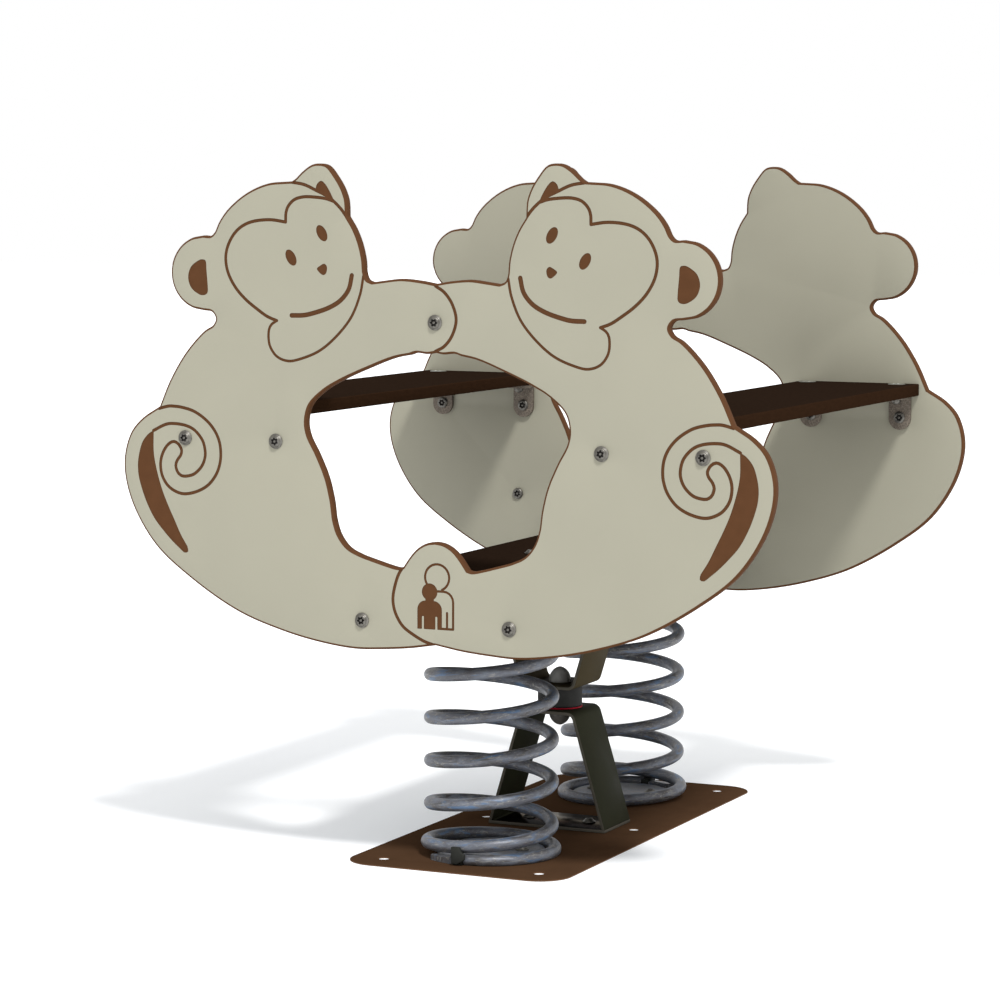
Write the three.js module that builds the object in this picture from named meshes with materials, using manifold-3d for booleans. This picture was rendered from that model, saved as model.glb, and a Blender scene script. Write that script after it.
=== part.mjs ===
// A sprung four-seat seesaw. Two plastic side panels, each cut as a pair of monkeys that hold hands, carry
// two wide seats and a footboard. Two coil springs and a central rubber buffer join this rocker to a steel
// base plate. Millimetres, +Z up, X along the rocking direction. The origin is at the middle of the base
// plate's underside.

import * as THREE from 'three';
import { mergeVertices } from 'three/addons/utils/BufferGeometryUtils.js';
import Module from 'manifold-3d';

const wasm = await Module();
wasm.setup();

// Driving dimensions
const GAP = 0.3; // clearance that touching pieces keep
const PIVOT_Z = 205; // height of the rocking axis, half-way up the springs

const PANEL_FACE_Y = 447; // outer face of a side panel
const PANEL_THICK = 15;
const PANEL_INNER_Y = PANEL_FACE_Y - PANEL_THICK;
const EDGE_TOLERANCE = 0.12; // how far a panel's edge may stand off its true curve

const PLATE_LENGTH = 350;
const PLATE_WIDTH = 820;
const PLATE_THICK = 5;
const PLATE_CORNER = 50;
const SHANK_END_Z = 0.5; // lower end of the bolts that screw into the base plate
const ANCHOR_HOLE_R = 8;
const ANCHOR_X = 125;
const ANCHOR_Y = 360;

const BOARD_THICK = 19;
const BOARD_HALF_WIDTH = PANEL_INNER_Y - GAP;
const SEAT_INNER_X = 236;
const SEAT_OUTER_X = 437;
const SEAT_UNDER_Z = 658;
const SEAT_BRACKET_X = [255.5, 406];
const FOOT_HALF_LENGTH = 150;
const FOOT_UNDER_Z = 405;
const FOOT_BRACKET_X = 116;

const SUNK_HEAD_R = 14;
const SUNK_HEAD = 3; // depth of a board bolt's flat head in its round seat
const SUNK_HEAD_PROUD = 0.6;

const BRACKET_WIDTH = 36;
const BRACKET_THICK = 5;
const BRACKET_DROP = 35.5; // from a board's underside to the panel bolt
const BRACKET_TOE = 2; // how far the round end's middle lies below the panel bolt
const BRACKET_REACH = 23; // from a panel's inner face to the board bolt

const BOLT_R = 5;
const BOLT_SIDES = 8; // facets round a bolt, its head and its hole
const BOLT_HOLE_R = BOLT_R + GAP;
const HEAD_R = 10;
const HEAD_HIGH = 4.7;
const FLANGE_R = 11; // foot of a panel bolt's domed head
const DOME_HIGH = 6.2;
const CAP_NUT_R = 9.5;
const NUT_R = 8;
const RAIL_BOLT_Z = 799;
const SPARE_BOLT = [-267, 472]; // one more bolt, in the rear panel alone

const WIRE_R = 9.5;
const SPRING_Y = 253.5;
const COIL_R = 90.7;
const END_COIL_R = 95;
const COIL_PITCH = 64;
const WIRE_FOOT_Z = 11.5; // middle of the wire in the closed coil, whose underside is ground flat
const COIL_END_TURN = -448 / 360; // turns, counted from +X, at which the bottom end of the wire lies
const RISE_FROM = -378 / 360; // where the closed coil starts to climb
const RISE_TO = 11 / 360; // where it has reached the full pitch
const NARROW_FROM = -150 / 360; // where the wide closed coil starts to narrow
const NARROW_TO = 20 / 360; // where it has reached the plain radius
const COIL_STEPS_PER_TURN = 16;
const WIRE_SIDES = 8;

const TRESTLE_HALF_WIDTH = 51.5;
const TRESTLE_FOOT_X = 98;
const TRESTLE_LEG_FOOT_X = 97.5; // outer face of a leg where it meets the foot strip
const TRESTLE_LEG_TOP_X = 44.8; // the same face carried up to the top plate's upper side
const TRESTLE_STRIP = 5;
const TRESTLE_TOP_Z = 188;
const TRESTLE_BOLT_X = 50;

const BUFFER_R = 34.5;
const STUD_R = 6;
const DISC_THICK = 2;
const CAP_R = 17;
const CAP_HIGH = 23.4;
const CAP_WALL = 2;
const NUT_FLATS = 19;
const NUT_HIGH = 9;

const CLAMP_DISC_R = 80;
const CLAMP_DISC_THICK = 8;
const CLAMP_BOLT_X = 50;
const STOP_FROM_X = -13.7; // the stop at the wire's end, beside the spring's foremost point
const STOP_TO_X = 1.4;
const STOP_INNER_R = 86;
const STOP_OUTER_R = 112;
const STOP_HIGH = 17.5;
const STOP_WALL_R = 105.5; // the stop's outer wall stands from here to its outer face
const STOP_WALL_TOP = 32.4;
const STOP_LIP_X = 7; // a lip of the wall reaches this far over the wire's end
const TAIL_OUTER_R = 104; // the wire's flattened tip, which runs on beyond the stop
const TAIL_HIGH = 15.5;
const TAIL_FROM_DEGREES = -98;
const TAIL_TO_DEGREES = -124;
const TAIL_SLANT_DEGREES = 5;

const RAIL_R = 16;
const RAIL_WALL = 3;
const RAIL_PLUG = 20;

// Half of a panel's outer edge, from the middle of the belly to the middle of the joined hands. Each stretch
// is one smooth curve, and starts where the stretch before it ends. Numbers are [x, z].
const PANEL_EDGE = [
  // belly and tail, up to the notch where the tail meets the back
  [[0, 339.5], [40, 333], [85, 328.8], [130, 327], [190, 333.8], [250, 347], [320, 370.5], [400, 416],
    [460, 463.8], [500, 527.5], [511.3, 582.5], [500, 626], [480, 648.8], [450, 667.5]],
  // back and neck
  [[450, 667.5], [432, 706.5], [405, 748], [373.8, 780], [359.6, 788.5], [355, 798], [361.2, 807.5],
    [374.1, 809.5]],
  // outer ear, a half circle
  arcPoints(374.1, 864, 54.5, -90, 90),
  // crown of the head
  [[374.1, 918.5], [362.1, 918.2], [355.6, 923.8], [348.1, 938.8], [333.1, 957.5], [303.1, 980],
    [268.1, 993.8], [229.1, 997]],
  // inner ear, whose tip stands above the crown
  [[229.1, 997], [222.1, 1001.5], [211.1, 1011.5], [196.9, 1020.5], [184.4, 1022.5], [171.1, 1019.5],
    [158.1, 1005], [146.9, 987.5], [140.6, 970], [139.4, 947.5]],
  // brow, cheek and chin
  [[139.4, 947.5], [128.1, 930], [119.4, 910], [113.6, 887], [111.7, 867], [107.6, 858], [99.3, 854.6]],
  // arm
  [[99.3, 854.6], [83.7, 856.6], [54.4, 860], [24, 857.6], [0, 853.6]],
];

// Half of the opening between the two animals, from the feet up to the hands.
const PANEL_OPENING = [
  // joined feet
  [[0, 487.5], [11, 486], [21, 482], [31, 475], [40, 465], [45.5, 457.5], [51, 449.5]],
  // leg, belly and chest
  [[51, 449.5], [58, 448], [97.5, 457.5], [122.5, 465], [140, 474], [153.8, 491], [161, 512], [165, 540],
    [174, 574], [189, 607], [203, 633], [206.3, 653], [200, 676], [178, 697], [150, 713], [110, 730.5],
    [65, 747.5], [40, 752.5]],
  // inner side of the arms, with the small step of the hands
  [[40, 752.5], [30, 755.6], [12, 754.2], [0, 756.3]],
];

function arcPoints(cx, cy, radius, fromDegrees, toDegrees, steps = 8) {
  return Array.from({ length: steps + 1 }, (_, i) => {
    const angle = THREE.MathUtils.degToRad(fromDegrees + ((toDegrees - fromDegrees) * i) / steps);
    return [cx + radius * Math.cos(angle), cy + radius * Math.sin(angle)];
  });
}

// Materials
const beigePlastic = plain(0xbcb7a3, 0.5, 0);
const darkPlastic = plain(0x35251b, 0.6, 0);
const paintedPlate = plain(0x46301f, 0.6, 0.1);
const springSteel = plain(0x6d7480, 0.45, 0.7);
const darkSteel = plain(0x33332a, 0.5, 0.5);
const greySteel = plain(0x6a6258, 0.55, 0.7);
const boltSteel = plain(0x8d8a84, 0.35, 0.9);
const blackRubber = plain(0x262626, 0.8, 0);
const redDisc = plain(0xa00a28, 0.5, 0);
const greyPlastic = plain(0x464644, 0.55, 0);

function plain(color, roughness, metalness) {
  return new THREE.MeshStandardMaterial({ color, roughness, metalness });
}

// Joining and cutting closed meshes
function toSolid(geometry) {
  const bare = geometry.clone();
  bare.deleteAttribute('normal');
  bare.deleteAttribute('uv');
  const merged = mergeVertices(bare);
  const vertProperties = new Float32Array(merged.attributes.position.array);
  const triVerts = new Uint32Array(merged.index.array);
  return new wasm.Manifold(new wasm.Mesh({ numProp: 3, vertProperties, triVerts }));
}

function toGeometry(solid) {
  const mesh = solid.getMesh();
  const geometry = new THREE.BufferGeometry();
  geometry.setAttribute('position', new THREE.BufferAttribute(mesh.vertProperties, 3));
  geometry.setIndex(new THREE.BufferAttribute(mesh.triVerts, 1));
  return geometry;
}

function join(geometries) {
  const solids = geometries.map(toSolid);
  return toGeometry(solids.reduce((whole, piece) => whole.add(piece)));
}

function cut(geometry, tools) {
  return toGeometry(tools.map(toSolid).reduce((whole, tool) => whole.subtract(tool), toSolid(geometry)));
}

// Basic shapes
function block(x0, x1, y0, y1, z0, z1) {
  const geometry = new THREE.BoxGeometry(x1 - x0, y1 - y0, z1 - z0);
  return geometry.translate((x0 + x1) / 2, (y0 + y1) / 2, (z0 + z1) / 2);
}

function rod(radius, x, y, z0, z1, sides = 12) {
  const geometry = new THREE.CylinderGeometry(radius, radius, z1 - z0, sides);
  return geometry.rotateX(Math.PI / 2).translate(x, y, (z0 + z1) / 2);
}

// A solid of revolution about Z. The profile is a list of [radius, z] that starts and ends on the axis, or
// closes on itself.
function turned(profile, sides) {
  const points = profile.map(([radius, z]) => new THREE.Vector2(radius, z));
  return new THREE.LatheGeometry(points, sides).rotateX(Math.PI / 2);
}

function extrudeUp(shape, z0, z1, curveSegments = 6) {
  const geometry = new THREE.ExtrudeGeometry(shape, { depth: z1 - z0, bevelEnabled: false, curveSegments });
  return geometry.translate(0, 0, z0);
}

// A shape drawn in X and Z, as a slab that reaches from y0 to y1.
function slabAcross(shape, y0, y1, curveSegments = 6) {
  const geometry = new THREE.ExtrudeGeometry(shape, { depth: y1 - y0, bevelEnabled: false, curveSegments });
  return geometry.rotateX(Math.PI / 2).translate(0, y1, 0);
}

// A hole drawn with eight sides, wide enough to clear a round bar of the given radius.
function roundHole(x, y, radius) {
  return new THREE.Path().absarc(x, y, radius / Math.cos(Math.PI / 8), 0, 2 * Math.PI, true);
}

const seesaw = new THREE.Group();
const base = new THREE.Group();
const rocker = new THREE.Group();
seesaw.add(base, rocker);

function place(group, name, geometry, material) {
  const mesh = new THREE.Mesh(geometry, material);
  mesh.name = name;
  group.add(mesh);
  return mesh;
}

// Side panels
function edgePoints(stretches) {
  const half = stretches.flatMap((stretch, index) => {
    const knots = stretch.map(([x, z]) => new THREE.Vector3(x, z, 0));
    const curve = new THREE.CatmullRomCurve3(knots, false, 'centripetal');
    const fine = curve.getSpacedPoints(Math.round(curve.getLength()));
    const points = thinned(fine, EDGE_TOLERANCE);
    return index === 0 ? points : points.slice(1);
  });
  const mirrored = half.slice(1, -1).reverse().map((p) => new THREE.Vector3(-p.x, p.y, 0));
  return [...half, ...mirrored].map((p) => new THREE.Vector2(p.x, p.y));
}

// Keeps only the points that a run of straight steps needs to stay within the tolerance of them all.
function thinned(points, tolerance) {
  const chord = new THREE.Line3(points[0], points[points.length - 1]);
  const offsets = points.map((p) => chord.closestPointToPoint(p, true, new THREE.Vector3()).distanceTo(p));
  const farthest = offsets.indexOf(Math.max(...offsets));
  if (offsets[farthest] <= tolerance) return [chord.start, chord.end];
  const before = thinned(points.slice(0, farthest + 1), tolerance);
  const after = thinned(points.slice(farthest), tolerance);
  return [...before, ...after.slice(1)];
}

function panelGeometry(boltHoles) {
  const shape = new THREE.Shape(edgePoints(PANEL_EDGE));
  shape.holes.push(new THREE.Path(edgePoints(PANEL_OPENING)));
  boltHoles.forEach(([x, z]) => shape.holes.push(roundHole(x, z, BOLT_HOLE_R)));
  return slabAcross(shape, -PANEL_FACE_Y, -PANEL_INNER_Y, 4);
}

const PANEL_BOLTS = {
  seat_left_outer: [-SEAT_BRACKET_X[1], SEAT_UNDER_Z - BRACKET_DROP],
  seat_left_inner: [-SEAT_BRACKET_X[0], SEAT_UNDER_Z - BRACKET_DROP],
  seat_right_inner: [SEAT_BRACKET_X[0], SEAT_UNDER_Z - BRACKET_DROP],
  seat_right_outer: [SEAT_BRACKET_X[1], SEAT_UNDER_Z - BRACKET_DROP],
  foot_left: [-FOOT_BRACKET_X, FOOT_UNDER_Z - BRACKET_DROP],
  foot_right: [FOOT_BRACKET_X, FOOT_UNDER_Z - BRACKET_DROP],
  handrail: [0, RAIL_BOLT_Z],
};
const boltPlaces = Object.values(PANEL_BOLTS);
const rearBoltPlaces = [...boltPlaces, [-SPARE_BOLT[0], SPARE_BOLT[1]]];

place(rocker, 'front_panel', panelGeometry(boltPlaces), beigePlastic);
place(rocker, 'rear_panel', panelGeometry(rearBoltPlaces).rotateZ(Math.PI), beigePlastic);

// Seats and footboard, with a sunk round seat for each bolt head
function boardGeometry(x0, x1, underZ, boltXs, throughBolts = []) {
  const board = block(x0, x1, -BOARD_HALF_WIDTH, BOARD_HALF_WIDTH, underZ, underZ + BOARD_THICK);
  const top = underZ + BOARD_THICK;
  const edgeBolts = boltXs.flatMap((x) => [[x, -1], [x, 1]]);
  const tools = edgeBolts.flatMap(([x, side]) => {
    const y = side * (PANEL_INNER_Y - BRACKET_REACH);
    return [
      rod(BOLT_HOLE_R, x, y, underZ - 1, top + 1, BOLT_SIDES),
      rod(SUNK_HEAD_R + GAP, x, y, top - SUNK_HEAD - GAP, top + 1, 12),
    ];
  });
  throughBolts.forEach(([x, y]) => tools.push(rod(BOLT_HOLE_R, x, y, underZ - 1, top + 1, BOLT_SIDES)));
  return cut(board, tools);
}

const footBoltPlaces = [-SPRING_Y, 0, SPRING_Y].flatMap((y) => [[-CLAMP_BOLT_X, y], [CLAMP_BOLT_X, y]]);
const seatXs = SEAT_BRACKET_X;
place(rocker, 'left_seat', boardGeometry(-SEAT_OUTER_X, -SEAT_INNER_X, SEAT_UNDER_Z, seatXs.map((x) => -x)),
  darkPlastic);
place(rocker, 'right_seat', boardGeometry(SEAT_INNER_X, SEAT_OUTER_X, SEAT_UNDER_Z, seatXs), darkPlastic);
place(rocker, 'footboard', boardGeometry(-FOOT_HALF_LENGTH, FOOT_HALF_LENGTH, FOOT_UNDER_Z,
  [-FOOT_BRACKET_X, FOOT_BRACKET_X], footBoltPlaces), darkPlastic);

// Angle brackets. Each is one bent bar with a round end on either leg, and holds its board bolt and nut.
function bracketGeometry(x, side, underZ) {
  const outerY = PANEL_INNER_Y - GAP;
  const topZ = underZ - GAP;
  const half = BRACKET_WIDTH / 2;
  const down = new THREE.Shape();
  down.moveTo(half, topZ);
  down.lineTo(-half, topZ);
  down.lineTo(-half, underZ - BRACKET_DROP - BRACKET_TOE);
  down.absarc(0, underZ - BRACKET_DROP - BRACKET_TOE, half, Math.PI, 2 * Math.PI, false);
  down.holes.push(roundHole(0, underZ - BRACKET_DROP, BOLT_HOLE_R));
  const boltY = PANEL_INNER_Y - BRACKET_REACH;
  const along = new THREE.Shape();
  along.moveTo(-half, outerY);
  along.lineTo(-half, boltY);
  along.absarc(0, boltY, half, Math.PI, 2 * Math.PI, false);
  along.lineTo(half, outerY);
  const headTop = underZ + BOARD_THICK + SUNK_HEAD_PROUD;
  const pieces = [
    slabAcross(down, outerY - BRACKET_THICK, outerY, 4),
    extrudeUp(along, topZ - BRACKET_THICK, topZ, 4),
    rod(BOLT_R, 0, boltY, topZ - 1, headTop - 1, BOLT_SIDES),
    rod(SUNK_HEAD_R, 0, boltY, headTop - SUNK_HEAD, headTop, 12),
    rod(NUT_R, 0, boltY, topZ - BRACKET_THICK - 8, topZ - BRACKET_THICK + 1, 6),
  ];
  const geometry = join(pieces);
  if (side < 0) geometry.rotateZ(Math.PI);
  return geometry.translate(x, 0, 0);
}

const bracketPlaces = [
  ['left_seat_outer', -SEAT_BRACKET_X[1], SEAT_UNDER_Z],
  ['left_seat_inner', -SEAT_BRACKET_X[0], SEAT_UNDER_Z],
  ['right_seat_inner', SEAT_BRACKET_X[0], SEAT_UNDER_Z],
  ['right_seat_outer', SEAT_BRACKET_X[1], SEAT_UNDER_Z],
  ['foot_left', -FOOT_BRACKET_X, FOOT_UNDER_Z],
  ['foot_right', FOOT_BRACKET_X, FOOT_UNDER_Z],
];
bracketPlaces.forEach(([name, x, underZ]) => {
  place(rocker, `bracket_${name}_front`, bracketGeometry(x, -1, underZ), greySteel);
  place(rocker, `bracket_${name}_rear`, bracketGeometry(x, 1, underZ), greySteel);
});

// Panel bolts. Each has a domed head on a flange outside, and either a cap nut on the inner side or a shank
// that screws into the handrail's end. The shank lies along Y.
const DOMED_HEAD = [
  [0, GAP + DOME_HIGH], [6.5, GAP + DOME_HIGH], [9, GAP + 2.4], [FLANGE_R, GAP + 1.5], [FLANGE_R, GAP],
  [BOLT_R, GAP],
];

function panelBoltGeometry(gripLength) {
  const inner = -gripLength - GAP;
  const nut = [[BOLT_R, inner], [CAP_NUT_R, inner], [CAP_NUT_R, inner - 1.8], [6, inner - HEAD_HIGH],
    [0, inner - HEAD_HIGH]];
  return turned([...DOMED_HEAD, ...nut].reverse(), BOLT_SIDES).rotateX(Math.PI / 2);
}

function handrailBoltGeometry() {
  const depth = PANEL_THICK + RAIL_PLUG - 2;
  const shank = [[BOLT_R, -depth], [0, -depth]];
  return turned([...DOMED_HEAD, ...shank].reverse(), BOLT_SIDES).rotateX(Math.PI / 2);
}

function placePanelBolt(name, x, z, side, geometry) {
  const oriented = side < 0 ? geometry : geometry.rotateZ(Math.PI);
  place(rocker, name, oriented.translate(x, side * PANEL_FACE_Y, z), boltSteel);
}

for (const [name, [x, z]] of Object.entries(PANEL_BOLTS)) {
  for (const [sideName, side] of [['front', -1], ['rear', 1]]) {
    const isRail = name === 'handrail';
    const grip = PANEL_THICK + GAP + BRACKET_THICK;
    const geometry = isRail ? handrailBoltGeometry() : panelBoltGeometry(grip);
    placePanelBolt(`bolt_${name}_${sideName}`, x, z, side, geometry);
  }
}
placePanelBolt('bolt_spare_rear', SPARE_BOLT[0], SPARE_BOLT[1], 1, panelBoltGeometry(PANEL_THICK));

// Handrail: a tube with a bored plug in each end, from hand to hand of the two panels
const railEnd = BOARD_HALF_WIDTH;
const railBore = RAIL_R - RAIL_WALL;
const railInner = railEnd - RAIL_PLUG;
const railGeometry = turned([
  [BOLT_HOLE_R, -railEnd], [RAIL_R, -railEnd], [RAIL_R, railEnd], [BOLT_HOLE_R, railEnd],
  [BOLT_HOLE_R, railInner], [railBore, railInner], [railBore, -railInner], [BOLT_HOLE_R, -railInner],
  [BOLT_HOLE_R, -railEnd],
], 14);
place(rocker, 'handrail', railGeometry.rotateX(Math.PI / 2).translate(0, 0, RAIL_BOLT_Z), greySteel);

// Base plate
function roundedRectangle(length, width, radius) {
  const x = length / 2;
  const y = width / 2;
  const shape = new THREE.Shape();
  shape.absarc(x - radius, -y + radius, radius, -Math.PI / 2, 0, false);
  shape.absarc(x - radius, y - radius, radius, 0, Math.PI / 2, false);
  shape.absarc(-x + radius, y - radius, radius, Math.PI / 2, Math.PI, false);
  shape.absarc(-x + radius, -y + radius, radius, Math.PI, 1.5 * Math.PI, false);
  return shape;
}

const plateShape = roundedRectangle(PLATE_LENGTH, PLATE_WIDTH, PLATE_CORNER);
for (const x of [-ANCHOR_X, ANCHOR_X]) {
  for (const y of [-ANCHOR_Y, 0, ANCHOR_Y]) plateShape.holes.push(roundHole(x, y, ANCHOR_HOLE_R));
}
footBoltPlaces.forEach(([x, y]) => plateShape.holes.push(roundHole(x, y, BOLT_HOLE_R)));
place(base, 'base_plate', extrudeUp(plateShape, 0, PLATE_THICK, 5), paintedPlate);

// Trestles. The lower one stands on the base plate, the upper one is the same piece turned upside down.
const trestleFootZ = PLATE_THICK + GAP;
const trestleStripTop = trestleFootZ + TRESTLE_STRIP;

function trestleGeometry() {
  const lean = Math.atan2(TRESTLE_LEG_FOOT_X - TRESTLE_LEG_TOP_X, TRESTLE_TOP_Z - trestleStripTop);
  const legWidth = TRESTLE_STRIP / Math.cos(lean);
  const bend = 14;
  const innerBend = bend - TRESTLE_STRIP;
  const footZ = trestleStripTop - 1;
  const innerTopZ = TRESTLE_TOP_Z - TRESTLE_STRIP;
  const outerX = (z) => TRESTLE_LEG_FOOT_X - (z - trestleStripTop) * Math.tan(lean);
  const innerX = (z) => outerX(z) - legWidth;
  const bentStrip = new THREE.Shape();
  bentStrip.moveTo(outerX(footZ), footZ);
  bentStrip.lineTo(outerX(TRESTLE_TOP_Z - bend), TRESTLE_TOP_Z - bend);
  bentStrip.quadraticCurveTo(outerX(TRESTLE_TOP_Z), TRESTLE_TOP_Z, outerX(TRESTLE_TOP_Z) - bend,
    TRESTLE_TOP_Z);
  bentStrip.lineTo(bend - outerX(TRESTLE_TOP_Z), TRESTLE_TOP_Z);
  bentStrip.quadraticCurveTo(-outerX(TRESTLE_TOP_Z), TRESTLE_TOP_Z, -outerX(TRESTLE_TOP_Z - bend),
    TRESTLE_TOP_Z - bend);
  bentStrip.lineTo(-outerX(footZ), footZ);
  bentStrip.lineTo(-innerX(footZ), footZ);
  bentStrip.lineTo(-innerX(innerTopZ - innerBend), innerTopZ - innerBend);
  bentStrip.quadraticCurveTo(-innerX(innerTopZ), innerTopZ, innerBend - innerX(innerTopZ), innerTopZ);
  bentStrip.lineTo(innerX(innerTopZ) - innerBend, innerTopZ);
  bentStrip.quadraticCurveTo(innerX(innerTopZ), innerTopZ, innerX(innerTopZ - innerBend),
    innerTopZ - innerBend);
  bentStrip.lineTo(innerX(footZ), footZ);
  const width = TRESTLE_HALF_WIDTH;
  const welded = join([
    block(-TRESTLE_FOOT_X, TRESTLE_FOOT_X, -width, width, trestleFootZ, trestleStripTop),
    slabAcross(bentStrip, -width, width, 4),
  ]);
  return cut(welded, [
    rod(STUD_R + GAP, 0, 0, innerTopZ - 5, TRESTLE_TOP_Z + 5, 10),
    rod(BOLT_HOLE_R, -TRESTLE_BOLT_X, 0, trestleFootZ - 1, trestleStripTop + 1, BOLT_SIDES),
    rod(BOLT_HOLE_R, TRESTLE_BOLT_X, 0, trestleFootZ - 1, trestleStripTop + 1, BOLT_SIDES),
  ]);
}

// Turns a piece made for the lower half over the rocking axis, into its twin in the upper half.
function turnedOver(geometry) {
  return geometry.translate(0, 0, -PIVOT_Z).rotateX(Math.PI).translate(0, 0, PIVOT_Z);
}

place(base, 'lower_trestle', trestleGeometry(), darkSteel);
place(rocker, 'upper_trestle', turnedOver(trestleGeometry()), darkSteel);

// Bolts of the trestles: head on the strip and shank in the plate below, or head on the footboard above
function footBoltGeometry(x) {
  return join([
    rod(HEAD_R, x, 0, trestleStripTop + GAP, trestleStripTop + 6, BOLT_SIDES),
    rod(BOLT_R, x, 0, SHANK_END_Z, trestleStripTop + 3, BOLT_SIDES),
  ]);
}

const footTopZ = FOOT_UNDER_Z + BOARD_THICK;
const upperStripUnderZ = 2 * PIVOT_Z - trestleStripTop;

function footboardBoltGeometry(x) {
  return join([
    rod(HEAD_R, x, 0, footTopZ + GAP, footTopZ + HEAD_HIGH, BOLT_SIDES),
    rod(BOLT_R, x, 0, upperStripUnderZ - 4, footTopZ + 2, BOLT_SIDES),
    rod(NUT_R, x, 0, upperStripUnderZ - 8, upperStripUnderZ - GAP, 6),
  ]);
}

for (const [sideName, x] of [['left', -TRESTLE_BOLT_X], ['right', TRESTLE_BOLT_X]]) {
  place(base, `trestle_bolt_${sideName}`, footBoltGeometry(x), boltSteel);
  place(rocker, `footboard_bolt_${sideName}`, footboardBoltGeometry(x), boltSteel);
}

// Rubber buffer between the trestles, on its red disc, with a stud, a nut and a cap at either end
const upperPlateZ = 2 * PIVOT_Z - TRESTLE_TOP_Z;
const discZ = TRESTLE_TOP_Z + GAP;
const bufferZ = discZ + DISC_THICK + GAP;
const bufferTop = upperPlateZ - GAP;
const studDepth = 9;
place(base, 'buffer_disc', cut(rod(BUFFER_R + 0.5, 0, 0, discZ, discZ + DISC_THICK, 20),
  [rod(STUD_R + GAP, 0, 0, discZ - 1, discZ + DISC_THICK + 1, 10)]), redDisc);
place(base, 'rubber_buffer', turned([
  [0, bufferZ + studDepth], [STUD_R + GAP, bufferZ + studDepth], [STUD_R + GAP, bufferZ],
  [BUFFER_R, bufferZ], [BUFFER_R, bufferTop], [STUD_R + GAP, bufferTop],
  [STUD_R + GAP, bufferTop - studDepth], [0, bufferTop - studDepth],
], 20), blackRubber);

const studLow = TRESTLE_TOP_Z - TRESTLE_STRIP - GAP - NUT_HIGH - 4;
const studHigh = bufferZ + studDepth - GAP;

function nutGeometry() {
  const top = TRESTLE_TOP_Z - TRESTLE_STRIP - GAP;
  const hexagon = rod(NUT_FLATS / 2 / Math.cos(Math.PI / 6), 0, 0, top - NUT_HIGH, top, 6);
  return cut(hexagon, [rod(STUD_R + GAP, 0, 0, top - NUT_HIGH - 1, top + 1, 10)]);
}

function capGeometry() {
  const top = TRESTLE_TOP_Z - TRESTLE_STRIP - GAP;
  const profile = (radius, height) => [
    [radius, 0], [radius, -height * 0.42], [radius * 0.87, -height * 0.76], [radius * 0.52, -height * 0.96],
    [0, -height],
  ];
  const outside = profile(CAP_R, CAP_HIGH).reverse();
  const inside = profile(CAP_R - CAP_WALL, CAP_HIGH - CAP_WALL);
  return turned([...outside, ...inside].map(([radius, z]) => [radius, top + z]), 14);
}

place(base, 'lower_stud', rod(STUD_R, 0, 0, studLow, studHigh, 10), boltSteel);
const upperStudEnd = studHigh - DISC_THICK - GAP;
place(rocker, 'upper_stud', turnedOver(rod(STUD_R, 0, 0, studLow, upperStudEnd, 10)), boltSteel);
place(base, 'lower_nut', nutGeometry(), boltSteel);
place(rocker, 'upper_nut', turnedOver(nutGeometry()), boltSteel);
place(base, 'lower_cap', capGeometry(), greyPlastic);
place(rocker, 'upper_cap', turnedOver(capGeometry()), greyPlastic);

// Coil springs. The wire climbs from a wide closed coil to the full pitch and back again, and looks the same
// when it is turned over its own middle.
const springFootZ = PLATE_THICK + GAP;
const riseTurns = RISE_TO - RISE_FROM;
const midTurn = RISE_TO + (PIVOT_Z - WIRE_FOOT_Z - (COIL_PITCH * riseTurns) / 2) / COIL_PITCH;

function halfWire(turn) {
  const climbed = THREE.MathUtils.clamp(turn - RISE_FROM, 0, riseTurns);
  const straight = Math.max(0, turn - RISE_TO);
  const z = WIRE_FOOT_Z + (COIL_PITCH * climbed * climbed) / (2 * riseTurns) + COIL_PITCH * straight;
  const narrowing = THREE.MathUtils.smoothstep(turn, NARROW_FROM, NARROW_TO);
  return { z, radius: THREE.MathUtils.lerp(END_COIL_R, COIL_R, narrowing) };
}

function wirePoint(turn) {
  const isLow = turn <= midTurn;
  const { z, radius } = halfWire(isLow ? turn : 2 * midTurn - turn);
  const angle = turn * 2 * Math.PI;
  return new THREE.Vector3(radius * Math.cos(angle), radius * Math.sin(angle), isLow ? z : 2 * PIVOT_Z - z);
}

class WireLine extends THREE.Curve {
  getPoint(share, target = new THREE.Vector3()) {
    const turns = 2 * (midTurn - COIL_END_TURN);
    return target.copy(wirePoint(COIL_END_TURN + share * turns));
  }

  getPointAt(share, target) {
    return this.getPoint(share, target);
  }

  getTangentAt(share, target = new THREE.Vector3()) {
    return super.getTangent(share, target);
  }
}

function springGeometry() {
  const section = new THREE.Shape(arcPoints(0, 0, WIRE_R, 0, 360, WIRE_SIDES).slice(0, -1)
    .map(([x, y]) => new THREE.Vector2(x, y)));
  const steps = Math.round(2 * (midTurn - COIL_END_TURN) * COIL_STEPS_PER_TURN);
  const path = { steps, bevelEnabled: false, extrudePath: new WireLine() };
  return groundFlat(new THREE.ExtrudeGeometry(section, path));
}

// Flattens the undersides and tops of the closed coils, where they bear on the plate and the footboard.
function groundFlat(geometry) {
  const points = geometry.attributes.position;
  for (let i = 0; i < points.count; i += 1) {
    points.setZ(i, THREE.MathUtils.clamp(points.getZ(i), springFootZ, 2 * PIVOT_Z - springFootZ));
  }
  return geometry;
}

place(base, 'front_spring', springGeometry().translate(0, -SPRING_Y, 0), springSteel);
place(base, 'rear_spring', springGeometry().rotateZ(Math.PI).translate(0, SPRING_Y, 0), springSteel);

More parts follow.
